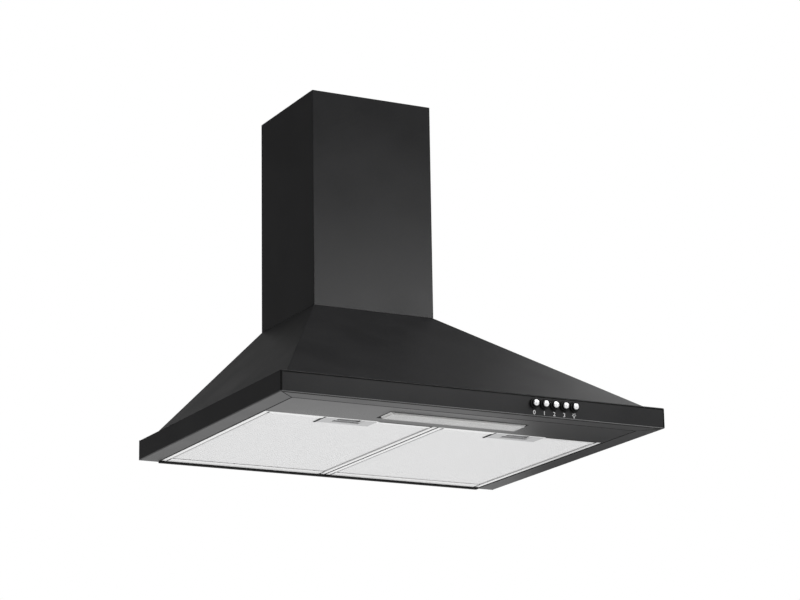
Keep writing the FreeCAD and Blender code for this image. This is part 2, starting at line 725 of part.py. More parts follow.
# Each filter hangs by two lugs behind and a sliding latch in front.
def make_filter(side, sign):
    middle = "(%s * filter_middle)" % sign
    half = "filter_width / 2"

    def across(inset):
        return ("%s - %s + %s" % (middle, half, inset), "%s + %s - (%s)" % (middle, half, inset))

    def deep(inset):
        return ("-filter_front + " + inset, "-filter_rear - (%s)" % inset)

    def named(piece):
        return "%s_%s" % (piece, side)

    def notch(piece, spare):
        return box(named(piece + "_notch"), ("%s - latch_width / 2 - %s" % (middle, spare),
                                             "%s + latch_width / 2 + %s" % (middle, spare)),
                   ("-filter_front - 1", "-latch_rear + " + spare), ("-1", "filter_top + 1"))

    blank = box(named("frame_blank"), across("0"), deep("0"), ("filter_level", "filter_top"))
    lugs = [box(named("lug_%d" % number), ("%s %s lug_spread - lug_width / 2" % (middle, way),
                                           "%s %s lug_spread + lug_width / 2" % (middle, way)),
                ("-filter_rear - filter_wall", "-filter_rear + lug_length"),
                ("filter_top - lug_thickness", "filter_top"))
            for number, way in enumerate("-+")]
    window = box(named("frame_window"), across("filter_border"), deep("filter_border"),
                 ("-1", "filter_top + 1"))
    channel = box(named("frame_channel"), across("filter_wall"), deep("filter_wall"),
                  ("filter_level + filter_wall", "filter_top - filter_wall"))
    frame = cut(named("filter_frame"), fuse(named("frame_with_lugs"), [blank] + lugs),
                [window, channel, notch("frame", "filter_clearance")])
    finish(frame, named("filter_frame"))

    # lower sheet, mesh pack and upper sheet lie in the channel, one on another
    inset = "filter_wall + filter_clearance"
    low = "filter_level + filter_wall"
    high = "filter_top - filter_wall"
    skins = []
    for piece, z_range in (("lower_skin", (low, low + " + filter_skin")),
                           ("upper_skin", (high + " - filter_skin", high))):
        plate = box(named(piece + "_plate"), across(inset), deep(inset), z_range)
        skins.append(cut(named(piece), plate, [notch(piece, "2 * filter_clearance")]))
    finish(group(named("filter_skins"), skins), named("filter_skins"))
    crimped = crimped_sheet(named("crimped_sheet"), across(inset), deep(inset),
                            (low + " + filter_skin", high + " - filter_skin"))
    mesh = cut(named("filter_mesh"), crimped, [notch("mesh", "2 * filter_clearance")])
    finish(mesh, named("filter_mesh"))

    # latch housing: its face lies flush in the frame and is open below only where the slide moves. A slot in
    # front lets the tongue out, and the cells beside the slide are open above.
    slide_front = "(-filter_front + latch_wall + latch_clearance)"
    slide_top = "latch_ceiling - latch_clearance"
    inside = ("-filter_front + latch_wall", "-latch_rear - latch_wall")
    floor = "filter_level + latch_wall"
    path = "slide_width / 2 + latch_clearance"
    beside = "%s + latch_wall" % path
    way = ("%s - (%s)" % (middle, path), "%s + %s" % (middle, path))
    block = box(named("latch_block"), ("%s - latch_width / 2" % middle, "%s + latch_width / 2" % middle),
                ("-filter_front", "-latch_rear"), ("filter_level", "filter_top"))
    stroke = slide_front + " + slide_depth + slide_travel + latch_clearance"
    mouth = box(named("latch_mouth"), way, (inside[0], stroke), ("-1", "latch_ceiling"))
    chamber = box(named("latch_chamber"), way, inside, (floor, "latch_ceiling"))
    slot = box(named("latch_slot"), ("%s - tongue_width / 2 - latch_clearance" % middle,
                                     "%s + tongue_width / 2 + latch_clearance" % middle),
               ("-filter_front - 1", "-filter_front + latch_wall + 1"),
               ("latch_ceiling - tongue_thickness - 2 * latch_clearance", "latch_ceiling"))
    upright = (floor, "filter_top + 1")
    outside = "latch_width / 2 - latch_wall"
    cells = [box(named("latch_cell_left"), ("%s - (%s)" % (middle, outside), "%s - (%s)" % (middle, beside)),
                 inside, upright),
             box(named("latch_cell_right"), ("%s + %s" % (middle, beside), "%s + %s" % (middle, outside)),
                 inside, upright)]
    finish(cut(named("latch_housing"), block, [mouth, chamber, slot] + cells), named("latch_housing"))

    # latch slide: a frame round the finger hole, and the tongue that reaches over the catch
    block = box(named("slide_block"), (middle + " - slide_width / 2", middle + " + slide_width / 2"),
                (slide_front, slide_front + " + slide_depth"), ("filter_level + slide_level", slide_top))
    finger = box(named("slide_finger"), (middle + " - slide_width / 2 + slide_wall",
                                         middle + " + slide_width / 2 - 2 * slide_wall"),
                 (slide_front + " + slide_wall", slide_front + " + slide_depth - slide_wall"),
                 ("-1", slide_top + " - tongue_thickness"))
    tongue = box(named("slide_tongue"), (middle + " - tongue_width / 2", middle + " + tongue_width / 2"),
                 ("-filter_front - tongue_reach", slide_front + " + slide_wall"),
                 (slide_top + " - tongue_thickness", slide_top))
    slide = fuse(named("slide_whole"), [block, tongue])
    finish(cut(named("latch_slide"), slide, [finger]), named("latch_slide"))

    # bowed leaf spring between the slide and the back of the tray
    body = new_body(named("latch_spring"))
    seat = "(-latch_rear - latch_wall - latch_clearance)"
    crest = "(%s + slide_depth + latch_clearance)" % slide_front
    span = "(slide_width / 2 - slide_wall)"
    thick = "spring_thickness"
    outline = [("%s - %s" % (middle, span), seat), ("%s - %s" % (middle, thick), crest),
               ("%s + %s" % (middle, thick), crest), ("%s + %s" % (middle, span), seat),
               ("%s + %s - 3 * %s" % (middle, span, thick), seat), (middle, crest + " + " + thick),
               ("%s - %s + 3 * %s" % (middle, span, thick), seat)]
    level = "latch_ceiling - latch_clearance - spring_width"
    pad(body, draw(body, "XY_Plane", ("0", "0", level), [outline]), "spring_width")
    finish(body, named("latch_spring"))


# ---- push buttons

# A round cap, drawn with sixteen sides, on a square stem that slides in a nozzle of the switch block.
def make_buttons():
    half = "stem_width / 2"
    for number, x in enumerate(button_places()):
        name = "button_cap_%d" % number
        finish(prism(name, "-y", (x, "-cap_rear", "button_level"), "round_sides", "cap_radius",
                     "cap_thickness"), name)
        name = "button_stem_%d" % number
        finish(box(name, ("%s - %s" % (x, half), "%s + %s" % (x, half)),
                   ("-cap_rear", "-cap_rear + stem_length"),
                   ("button_level - " + half, "button_level + " + half)), name)


def make_switch_block():
    body = new_body("switch_block")
    low = "button_level - switch_height / 2"
    outline = rectangle(("button_middle - switch_length / 2", "button_middle + switch_length / 2"),
                        (low, low + " + switch_height"))
    rear = draw(body, "XZ_Plane", ("0", "0", "hood_depth - sheet - switch_depth"), [outline])
    pad(body, rear, "switch_depth")
    nozzles = [square(x, "button_level", "nozzle_width / 2") for x in button_places()]
    pad(body, draw(body, "XZ_Plane", ("0", "0", "hood_depth - sheet"), nozzles), "sheet + nozzle_reach")
    bores = [square(x, "button_level", "stem_width / 2 + stem_clearance") for x in button_places()]
    front = draw(body, "XZ_Plane", ("0", "0", "hood_depth + nozzle_reach"), bores)
    pocket(body, front, "sheet + nozzle_reach + switch_bore_depth")
    return finish(body, "switch_block")


# ---- blower

# The volute grows by one step at each quarter turn, its arcs centred on the corners of a small square.
def volute(extra, top):
    step = "volute_step"
    first = "volute_start + " + extra
    left = "wheel_y - %s / 2" % step
    right = "wheel_y + %s / 2" % step
    low = "wheel_level - %s / 2" % step
    high = "wheel_level + %s / 2" % step
    return [(left, "%s + %s" % (low, first), "left", first),
            ("%s - (%s)" % (left, first), low, "left", "%s + %s" % (first, step)),
            (right, "%s - (%s + %s)" % (low, first, step), "left", "%s + 2 * %s" % (first, step)),
            ("%s + %s + 2 * %s" % (right, first, step), high),
            ("%s + %s + 2 * %s" % (right, first, step), top),
            ("-outlet_front - " + extra, top)]


def make_blower_half(side, outer, inner, wall):
    body = new_body("blower_housing_" + side)
    sign = "-" if side == "left" else ""
    casing = draw(body, "YZ_Plane", ("0", "0", outer), [volute("volute_wall", "outlet_level")])
    pad(body, casing, "volute_half")
    edge = sign + "(volute_half + volute_flange)"
    front = "-(outlet_front + volute_flange)"
    rear = "-(outlet_rear - volute_flange)"
    plate = draw(body, "XY_Plane", ("0", "0", "outlet_level - volute_wall"),
                 [[("0", front), (edge, front), (edge, rear), ("0", rear)]])
    pad(body, plate, "volute_wall")
    hollow = draw(body, "YZ_Plane", ("0", "0", inner), [volute("0", "outlet_level + 1")])
    pocket(body, hollow, "volute_half - volute_wall", "along")
    eye = draw(body, "YZ_Plane", ("0", "0", wall), [("ring", "wheel_y", "wheel_level", "inlet_radius")])
    pocket(body, eye, "2 * volute_wall", "along")
    return finish(body, "blower_housing_" + side)


# The wheel draws air from both sides: forward-curved blades between two end rings, on a middle disc and hub.
def make_impeller():
    body = new_body("impeller")
    centre = ("wheel_y", "wheel_level")

    def circle_pad(x, radii, length):
        rings = [("ring", "0", "0", radius) for radius in radii]
        return pad(body, draw(body, "YZ_Plane", centre + (x,), rings), length)

    circle_pad("-wheel_disc / 2", ["wheel_radius", "shaft_radius"], "wheel_disc")
    circle_pad("-wheel_disc / 2", ["hub_radius", "shaft_radius"], "hub_length")
    for x in ("-wheel_width / 2", "wheel_width / 2 - wheel_ring"):
        circle_pad(x, ["wheel_radius", "wheel_eye"], "wheel_ring")
    inner = "(wheel_eye + wheel_ring / 2)"
    outer = "(wheel_radius - wheel_ring / 2)"
    thick = "blade_thickness"
    middle = "(%s + %s) / 2" % (inner, outer)
    blade = [(inner, "0"), (inner, "-" + thick), ("%s + %s / 2" % (middle, thick), "blade_hook - " + thick),
             (outer, "blade_lead - " + thick), (outer + " - %s / 2" % thick, "blade_lead"),
             ("%s - %s / 2" % (middle, thick), "blade_hook")]
    sketch = draw(body, "YZ_Plane", centre + ("-(wheel_width - wheel_ring) / 2",), [blade])
    around(body, pad(body, sketch, "wheel_width - wheel_ring"), sketch, "blade_count")
    return finish(body, "impeller")


def make_motor():
    origin = ("0", "wheel_y", "wheel_level")
    shaft_end = "hub_length - wheel_disc / 2"
    shaft_start = shaft_end + " - shaft_length"
    shaft = [(shaft_start, "0"), (shaft_end, "0"), (shaft_end, "shaft_radius"),
             (shaft_start, "shaft_radius")]
    finish(turned("motor_shaft", "XY_Plane", origin, "H_Axis", shaft), "motor_shaft")
    back = "-bracket_x"
    bore = "shaft_radius + shaft_clearance"
    can = [(back, "0"), (shaft_start + " - 1", "0"), (shaft_start + " - 1", bore),
           (back + " + motor_length", bore), (back + " + motor_length", "motor_radius"),
           (back, "motor_radius")]
    finish(turned("motor_body", "XY_Plane", origin, "H_Axis", can), "motor_body")

    body = new_body("motor_bracket")
    arm = rectangle(("-arm_width / 4", "bush_circle + arm_width / 2"), ("-arm_width / 2", "arm_width / 2"))
    sketch = draw(body, "YZ_Plane", ("wheel_y", "wheel_level", "-bracket_x - bracket_plate"), [arm])
    around(body, pad(body, sketch, "bracket_plate"), sketch, "3")
    finish(body, "motor_bracket")

    bushes = []
    screws = []
    for number in range(3):
        turn = 2 * math.pi * number / 3
        y = "wheel_y + %.9f * bush_circle" % math.cos(turn)
        z = "wheel_level + %.9f * bush_circle" % math.sin(turn)
        bushes.append(box("bush_%d" % number, ("-bracket_x", "-volute_half"),
                          (y + " - bush_width / 2", y + " + bush_width / 2"),
                          (z + " - bush_width / 2", z + " + bush_width / 2")))
        screws.append(hex_head("bush_screw_%d" % number, "-x", ("-bracket_x - bracket_plate", y, z)))
    finish(group("motor_bushes", bushes), "motor_bushes")
    finish(group("motor_screws", screws), "motor_screws")


# A finger guard over the open inlet, seated on the housing's wall round it.
def make_inlet_grille():
    body = new_body("inlet_grille")
    centre = ("wheel_y", "wheel_level", "volute_half")
    bar = rectangle(("0", "inlet_radius + grille_overlap"), ("-grille_bar / 2", "grille_bar / 2"))
    sketch = draw(body, "YZ_Plane", centre, [bar])
    around(body, pad(body, sketch, "grille_sheet"), sketch, "6")
    return finish(body, "inlet_grille")


# The plate under the canopy's top flange, which carries the blower below it and the duct spigot above.
def make_carrier():
    body = new_body("blower_carrier")
    half = "chimney_half - carrier_gap"
    plan = rectangle(centred(half), ("-(chimney_depth - carrier_gap)", "-(2 * sheet + carrier_gap)"))
    hole = ("ring", "0", "spigot_y", "collar_ledge")
    pad(body, draw(body, "XY_Plane", ("0", "0", "outlet_level"), [plan, hole]), "carrier_sheet")
    finish(body, "blower_carrier")


def outlet_screw_places():
    x = "(volute_half + volute_flange / 2)"
    return [(side + x, y) for side in ("-", "") for y in ("-(outlet_front + volute_flange / 4)",
                                                          "-(outlet_rear - volute_flange / 4)")]


def spigot_screw_places():
    reach = "(spigot_flange / 2 - 2 * screw_head)"
    return [(side + reach, "spigot_y %s %s" % (way, reach)) for side in ("-", "") for way in "-+"]


# The carrier hangs from the canopy, the blower from the carrier, and the spigot stands on it.
def make_blower_screws():
    heads = []
    for number, (x, y) in enumerate(carrier_screw_places()):
        heads.append(hex_head("carrier_screw_%d" % number, "-z", (x, y, "outlet_level")))
    for number, (x, y) in enumerate(outlet_screw_places()):
        heads.append(hex_head("outlet_screw_%d" % number, "-z", (x, y, "outlet_level - volute_wall")))
    for number, (x, y) in enumerate(spigot_screw_places()):
        spot = (x, y, "carrier_top + spigot_flange_thickness")
        heads.append(hex_head("spigot_screw_%d" % number, "+z", spot))
    finish(group("blower_screws", heads), "blower_screws")


# The collar's bore steps out to a ledge. The flaps lie on the ledge, their axles in notches across it, and a
# bridge under the axles keeps them up.
def make_spigot():
    low = "carrier_top"
    profile = [("collar_ledge", low), ("spigot_radius", low), ("spigot_radius", "spigot_top"),
               ("collar_bore", "spigot_top"), ("collar_bore", "flap_seat"), ("collar_ledge", "flap_seat")]
    body = turned("outlet_collar", "XZ_Plane", ("0", "0", "-spigot_y"), "V_Axis", profile)
    flange = rectangle(centred("spigot_flange / 2"), centred("spigot_flange / 2"))
    hole = ("ring", "0", "0", "spigot_radius - flap_ledge")
    pad(body, draw(body, "XY_Plane", ("0", "spigot_y", low), [flange, hole]), "spigot_flange_thickness")
    width = "(axle_radius + axle_clearance)"
    notches = [rectangle(centred("collar_bore - axle_clearance / 2"),
                         ("%saxle_aside - %s" % (way, width), "%saxle_aside + %s" % (way, width)))
               for way in ("-", "")]
    for notch in notches:
        pocket(body, draw(body, "XY_Plane", ("0", "spigot_y", "flap_seat"), [notch]), width)
    bridge = rectangle(centred("collar_ledge + flap_ledge / 2"), centred("bridge_width / 2"))
    sketch = draw(body, "XY_Plane", ("0", "spigot_y", "notch_level - bridge_height"), [bridge])
    pad(body, sketch, "bridge_height")
    return finish(body, "outlet_collar")


# A half-round flap with its axle along the straight side.
def make_flap(side, sign):
    body = new_body("flap_" + side)
    reach = "(collar_bore - flap_margin)"
    chord = "sqrt(%s ^ 2 - axle_aside ^ 2)" % reach
    axis = sign + "axle_aside"
    hand = "left" if side == "rear" else "right"
    outline = [(chord, axis, hand, reach), ("0", sign + reach, hand, reach), ("-" + chord, axis)]
    sketch = draw(body, "XY_Plane", ("0", "spigot_y", "flap_seat + axle_clearance"), [outline])
    pad(body, sketch, "flap_thickness")
    half = "(collar_bore - axle_clearance)"
    axle = ("ring", "spigot_y %s axle_aside" % (sign or "+"), "flap_seat", "axle_radius")
    pad(body, draw(body, "YZ_Plane", ("0", "0", "-" + half), [axle]), "2 * " + half)
    return finish(body, "flap_" + side)


# ---- electrical pieces

def make_electrics():
    half = "capacitor_width / 2"
    front = "-sheet - capacitor_depth"
    finish(box("capacitor", ("-capacitor_aside - " + half, "-capacitor_aside + " + half), (front, "-sheet"),
               ("capacitor_level", "capacitor_level + capacitor_height")), "capacitor")

    body = new_body("capacitor_clip")
    clear = "clip_clearance"
    hug = "(%s + %s)" % (half, clear)
    outer = "(%s + clip_sheet)" % hug
    foot = "(%s + clip_foot)" % outer
    ceiling = "%s - %s" % (front, clear)
    corners = [(foot, "-sheet"), (foot, "-sheet - clip_sheet"), (outer, "-sheet - clip_sheet"),
               (outer, ceiling + " - clip_sheet")]
    inner = [(hug, ceiling), (hug, "-sheet")]
    outline = [("-capacitor_aside + " + x, y) for x, y in corners]
    outline += [("-capacitor_aside - " + x, y) for x, y in reversed(corners)]
    outline += [("-capacitor_aside - " + x, y) for x, y in reversed(inner)]
    outline += [("-capacitor_aside + " + x, y) for x, y in inner]
    level = "capacitor_level + capacitor_height / 2 - clip_width / 2"
    pad(body, draw(body, "XY_Plane", ("0", "0", level), [outline]), "clip_width")
    finish(body, "capacitor_clip")

    across = ("terminal_aside", "terminal_right")
    upright = ("terminal_level", "terminal_top")
    shell = box("terminal_shell", across, ("-(sheet + terminal_depth)", "-sheet"), upright)
    hollow = box("terminal_hollow", ("terminal_aside + terminal_wall", "terminal_right - terminal_wall"),
                 ("-(sheet + terminal_depth + 1)", "-(sheet + terminal_wall)"),
                 ("terminal_level + terminal_wall", "terminal_top - terminal_wall"))

    def square_bar(name, width, y_range):
        half = width + " / 2"
        return box(name, ("terminal_middle - " + half, "terminal_middle + " + half), y_range,
                   ("terminal_middle_level - " + half, "terminal_middle_level + " + half))

    nozzle = square_bar("terminal_nozzle", "cord_nozzle", ("-(sheet + terminal_wall / 2)", "0"))
    entry = square_bar("terminal_entry", "cord_bore", ("-(sheet + 2 * terminal_wall)", "terminal_wall"))
    whole = fuse("terminal_shell_and_nozzle", [shell, nozzle])
    finish(cut("terminal_box", whole, [hollow, entry]), "terminal_box")
    plate = box("terminal_lid_plate", across,
                ("-(sheet + terminal_depth + terminal_wall)", "-(sheet + terminal_depth)"), upright)
    inset = "terminal_wall + terminal_clearance"
    rim = box("terminal_lid_rim", ("terminal_aside + " + inset, "terminal_right - (%s)" % inset),
              ("-(sheet + terminal_depth)", "-(sheet + terminal_depth - terminal_wall)"),
              ("terminal_level + " + inset, "terminal_top - (%s)" % inset))
    finish(fuse("terminal_lid", [plate, rim]), "terminal_lid")


# ---- chimney

# A section of chimney from above: front and sides in one folded sheet, with a lip turned in at the wall.
def flue_section(half, front, back):
    thin = "flue_sheet"
    bend = "flue_bend"
    tight = "(flue_bend - flue_sheet)"
    lip = "(%s - flue_lip)" % half
    inner = "(%s - %s)" % (half, thin)
    return [("-" + half, "-" + back), ("-" + half, "-%s + %s" % (front, bend), "left", bend),
            ("-%s + %s" % (half, bend), "-" + front), ("%s - %s" % (half, bend), "-" + front, "left", bend),
            (half, "-%s + %s" % (front, bend)), (half, "-" + back),
            (lip, "-" + back), (lip, "-%s - %s" % (back, thin)), (inner, "-%s - %s" % (back, thin)),
            (inner, "-%s + %s" % (front, bend), "right", tight),
            ("%s - %s" % (inner, tight), "-%s + %s" % (front, thin)),
            ("-%s + %s" % (inner, tight), "-%s + %s" % (front, thin), "right", tight),
            ("-" + inner, "-%s + %s" % (front, bend)), ("-" + inner, "-%s - %s" % (back, thin)),
            ("-" + lip, "-%s - %s" % (back, thin)), ("-" + lip, "-" + back)]


def make_flues():
    lower = new_body("flue_lower")
    section = flue_section("chimney_half", "chimney_depth", "0")
    pad(lower, draw(lower, "XY_Plane", ("0", "0", "flue_bottom"), [section]), "total_height - flue_bottom")
    finish(lower, "flue_lower")
    upper = new_body("flue_upper")
    section = flue_section("inner_flue_half", "inner_flue_front", "inner_flue_back")
    pad(upper, draw(upper, "XY_Plane", ("0", "0", "inner_flue_bottom"), [section]), "inner_flue_length")
    slots = []
    for number in range(4):
        top = "inner_flue_top - %d * vent_slot_pitch" % (number + 1)
        slots.append(rectangle(("-(chimney_depth + vent_slot_length) / 2",
                                "-(chimney_depth - vent_slot_length) / 2"),
                               (top + " - vent_slot_height", top)))
    side = draw(upper, "YZ_Plane", ("0", "0", "-chimney_half"), slots)
    pocket(upper, side, "2 * chimney_half", "along")
    finish(upper, "flue_upper")


# Folded bar on the wall behind the chimney: it stands off beside the flue lips, and its ears face forward.
def make_flue_bracket():
    body = new_body("flue_bracket")
    thick = "bracket_sheet"
    bar = "(inner_flue_half - flue_lip - 1)"
    half = "(inner_flue_half - flue_sheet - flue_gap)"
    step = "bracket_step"
    outline = [("-" + bar, "0"), (bar, "0"), (bar, "-%s + %s" % (step, thick)),
               (half, "-%s + %s" % (step, thick)), (half, "-%s - bracket_ear" % step),
               ("%s - %s" % (half, thick), "-%s - bracket_ear" % step),
               ("%s - %s" % (half, thick), "-" + step),
               ("%s - %s" % (bar, thick), "-" + step), ("%s - %s" % (bar, thick), "-" + thick),
               ("-%s + %s" % (bar, thick), "-" + thick), ("-%s + %s" % (bar, thick), "-" + step),
               ("-%s + %s" % (half, thick), "-" + step),
               ("-%s + %s" % (half, thick), "-%s - bracket_ear" % step),
               ("-" + half, "-%s - bracket_ear" % step), ("-" + half, "-%s + %s" % (step, thick)),
               ("-" + bar, "-%s + %s" % (step, thick))]
    level = "bracket_top - bracket_height"
    pad(body, draw(body, "XY_Plane", ("0", "0", level), [outline]), "bracket_height")
    middle = "bracket_top - bracket_height / 2"
    holes = [("ring", side + "bracket_hole_spacing / 2", middle, "bracket_hole / 2") for side in ("-", "")]
    pocket(body, draw(body, "XZ_Plane", ("0", "0", "0"), holes), "2 * bracket_sheet", "along")
    finish(body, "flue_bracket")


make_canopy_shell()
make_back_panel()
make_panel_screws()
make_bottom_panel()
make_lamp_housing()
make_lamp_lens()
make_lamps()
make_filter("left", "-1")
make_filter("right", "1")
make_buttons()
make_switch_block()
make_blower_half("left", "-volute_half", "-volute_half + volute_wall", "-volute_half - 1")
make_blower_half("right", "0", "0", "volute_half - volute_wall - 1")
make_impeller()
make_motor()
make_inlet_grille()
make_carrier()
make_spigot()
make_blower_screws()
make_flap("front", "-")
make_flap("rear", "")
make_electrics()
make_flues()
make_flue_bracket()

document.recompute()
for item in document.Objects:
    if {"Invalid", "Error"} & set(item.State):
        raise RuntimeError("%s is %s" % (item.Label, item.State))
for item in finished:
    if item.Shape.isNull() or not item.Shape.isValid():
        raise RuntimeError("%s has no valid shape" % item.Label)

os.makedirs("parts", exist_ok=True)
for item in finished:
    item.Shape.exportStep("parts/%s.step" % item.Label)
print(len(finished), "pieces")
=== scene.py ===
import json
import math

import bmesh
import bpy
from mathutils import Matrix, Vector


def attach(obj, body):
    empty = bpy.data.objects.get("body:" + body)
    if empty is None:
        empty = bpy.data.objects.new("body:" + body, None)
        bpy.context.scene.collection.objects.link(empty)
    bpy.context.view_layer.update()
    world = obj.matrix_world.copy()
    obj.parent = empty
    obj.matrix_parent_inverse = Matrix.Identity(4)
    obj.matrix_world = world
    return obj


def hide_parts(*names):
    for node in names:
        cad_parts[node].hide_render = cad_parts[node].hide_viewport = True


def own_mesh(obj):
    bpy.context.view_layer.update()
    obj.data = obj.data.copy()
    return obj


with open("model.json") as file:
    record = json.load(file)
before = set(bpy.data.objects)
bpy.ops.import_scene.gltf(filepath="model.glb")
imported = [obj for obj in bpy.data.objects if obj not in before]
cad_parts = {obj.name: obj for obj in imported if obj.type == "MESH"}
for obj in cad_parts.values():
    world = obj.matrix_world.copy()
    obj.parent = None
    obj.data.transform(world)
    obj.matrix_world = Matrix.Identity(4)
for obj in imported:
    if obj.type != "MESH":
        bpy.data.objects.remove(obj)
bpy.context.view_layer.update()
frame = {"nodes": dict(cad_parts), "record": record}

mm = 0.001
hangLevel = 165  # mm from the rim's underside up to the frame's origin


def place(x, y, level):
    # a point given in mm, its height counted from the rim's underside
    return Vector((x * mm, y * mm, (level - hangLevel) * mm))


def linear(hexText):
    # an sRGB hex colour as the linear one that a shader takes
    channels = [int(hexText[start:start + 2], 16) / 255 for start in (1, 3, 5)]
    return [c / 12.92 if c <= 0.04045 else ((c + 0.055) / 1.055) ** 2.4 for c in channels] + [1.0]


def addNode(tree, kind, inputs=None, links=None, **settings):
    node = tree.nodes.new(kind)
    for name, setting in settings.items():
        setattr(node, name, setting)
    for name, constant in (inputs or {}).items():
        node.inputs[name].default_value = constant
    for name, socket in (links or {}).items():
        tree.links.new(socket, node.inputs[name])
    return node


def startMaterial(name, constants):
    material = bpy.data.materials.new(name)
    material.use_nodes = True
    tree = material.node_tree
    shader = tree.nodes["Principled BSDF"]
    for socket, constant in constants.items():
        shader.inputs[socket].default_value = constant
    return material, tree, shader


grainSpan = (0.3, 0.7)  # most of a noise pattern's values lie between these two


def grainedFinish(name, tones, grain, depth, roughness, stretch=(1, 1, 1), cloud=70, cells=False,
                  **constants):
    # tones: darkest and lightest hex; grain and cloud: pattern sizes in mm; depth: relief in mm;
    # roughness: lowest and highest; stretch: under 1 it draws the grain out along an axis, over 1 it
    # squeezes it; cells: a patchwork of crystals in place of the fine grain
    named = {key.replace("_", " "): constant for key, constant in constants.items()}
    material, tree, shader = startMaterial(name, named)
    where = addNode(tree, "ShaderNodeTexCoord")
    drawn = addNode(tree, "ShaderNodeMapping", {"Scale": stretch}, {"Vector": where.outputs["Object"]})
    if cells:
        fine = addNode(tree, "ShaderNodeTexVoronoi", {"Scale": 1 / (grain * mm)},
                       {"Vector": drawn.outputs["Vector"]})
        tint = addNode(tree, "ShaderNodeSeparateColor", links={"Color": fine.outputs["Color"]})
        height = tint.outputs["Red"]
    else:
        fine = addNode(tree, "ShaderNodeTexNoise",
                       {"Scale": 1 / (grain * mm), "Detail": 3.0, "Roughness": 0.55},
                       {"Vector": drawn.outputs["Vector"]})
        height = fine.outputs["Fac"]
    broad = addNode(tree, "ShaderNodeTexNoise", {"Scale": 1 / (cloud * mm), "Detail": 2.0},
                    {"Vector": where.outputs["Object"]})
    share = addNode(tree, "ShaderNodeMath", {1: 0.5}, {0: height}, operation="MULTIPLY")
    both = addNode(tree, "ShaderNodeMath", {1: 0.5}, {0: broad.outputs["Fac"], 2: share.outputs["Value"]},
                   operation="MULTIPLY_ADD")
    ramp = addNode(tree, "ShaderNodeValToRGB", links={"Fac": both.outputs["Value"]})
    for stop, position, tone in zip(ramp.color_ramp.elements, grainSpan, tones):
        stop.position = position
        stop.color = linear(tone)
    sheen = addNode(tree, "ShaderNodeMapRange",
                    {"From Min": grainSpan[0], "From Max": grainSpan[1],
                     "To Min": roughness[0], "To Max": roughness[1]}, {"Value": both.outputs["Value"]})
    relief = addNode(tree, "ShaderNodeBump", {"Strength": 1.0, "Distance": depth * mm}, {"Height": height})
    tree.links.new(ramp.outputs["Color"], shader.inputs["Base Color"])
    tree.links.new(sheen.outputs["Result"], shader.inputs["Roughness"])
    tree.links.new(relief.outputs["Normal"], shader.inputs["Normal"])
    return material


# expanded aluminium sheet: slit and stretched, so that its strands cross in flat diamonds. This is the pale
# fine net between the raised strands, which are pieces of their own; its openings are a little darker,
# painted shade in the holes; sizes in mm
fineNet = {"long": 6.0, "short": 3.2, "depth": 0.03, "opening": "#f0f0f1", "strand": "#f8f8f8",
           "span": (0.45, 0.85)}


def expandedAluminium():
    material, tree, shader = startMaterial("expandedAluminium", {"Metallic": 0.15, "Roughness": 0.55})
    where = addNode(tree, "ShaderNodeTexCoord")
    lean = math.atan2(fineNet["short"], fineNet["long"])
    pitch = fineNet["long"] * math.sin(lean)
    scale = math.pi / (10 * pitch * mm)  # at a scale of 1 the wave's bands lie pi / 10 apart
    bands = []
    for turn in (lean, -lean):
        turned = addNode(tree, "ShaderNodeMapping", {"Rotation": (0, 0, turn)},
                         {"Vector": where.outputs["Object"]})
        bands.append(addNode(tree, "ShaderNodeTexWave", {"Scale": scale},
                             {"Vector": turned.outputs["Vector"]}, bands_direction="Y").outputs["Fac"])
    crossing = addNode(tree, "ShaderNodeMath", links={0: bands[0], 1: bands[1]}, operation="MAXIMUM")
    ramp = addNode(tree, "ShaderNodeValToRGB", links={"Fac": crossing.outputs["Value"]})
    tones = (fineNet["opening"], fineNet["strand"])
    for stop, position, tone in zip(ramp.color_ramp.elements, fineNet["span"], tones):
        stop.position = position
        stop.color = linear(tone)
    relief = addNode(tree, "ShaderNodeBump", {"Distance": fineNet["depth"] * mm},
                     {"Height": crossing.outputs["Value"]})
    tree.links.new(ramp.outputs["Color"], shader.inputs["Base Color"])
    tree.links.new(relief.outputs["Normal"], shader.inputs["Normal"])
    return material


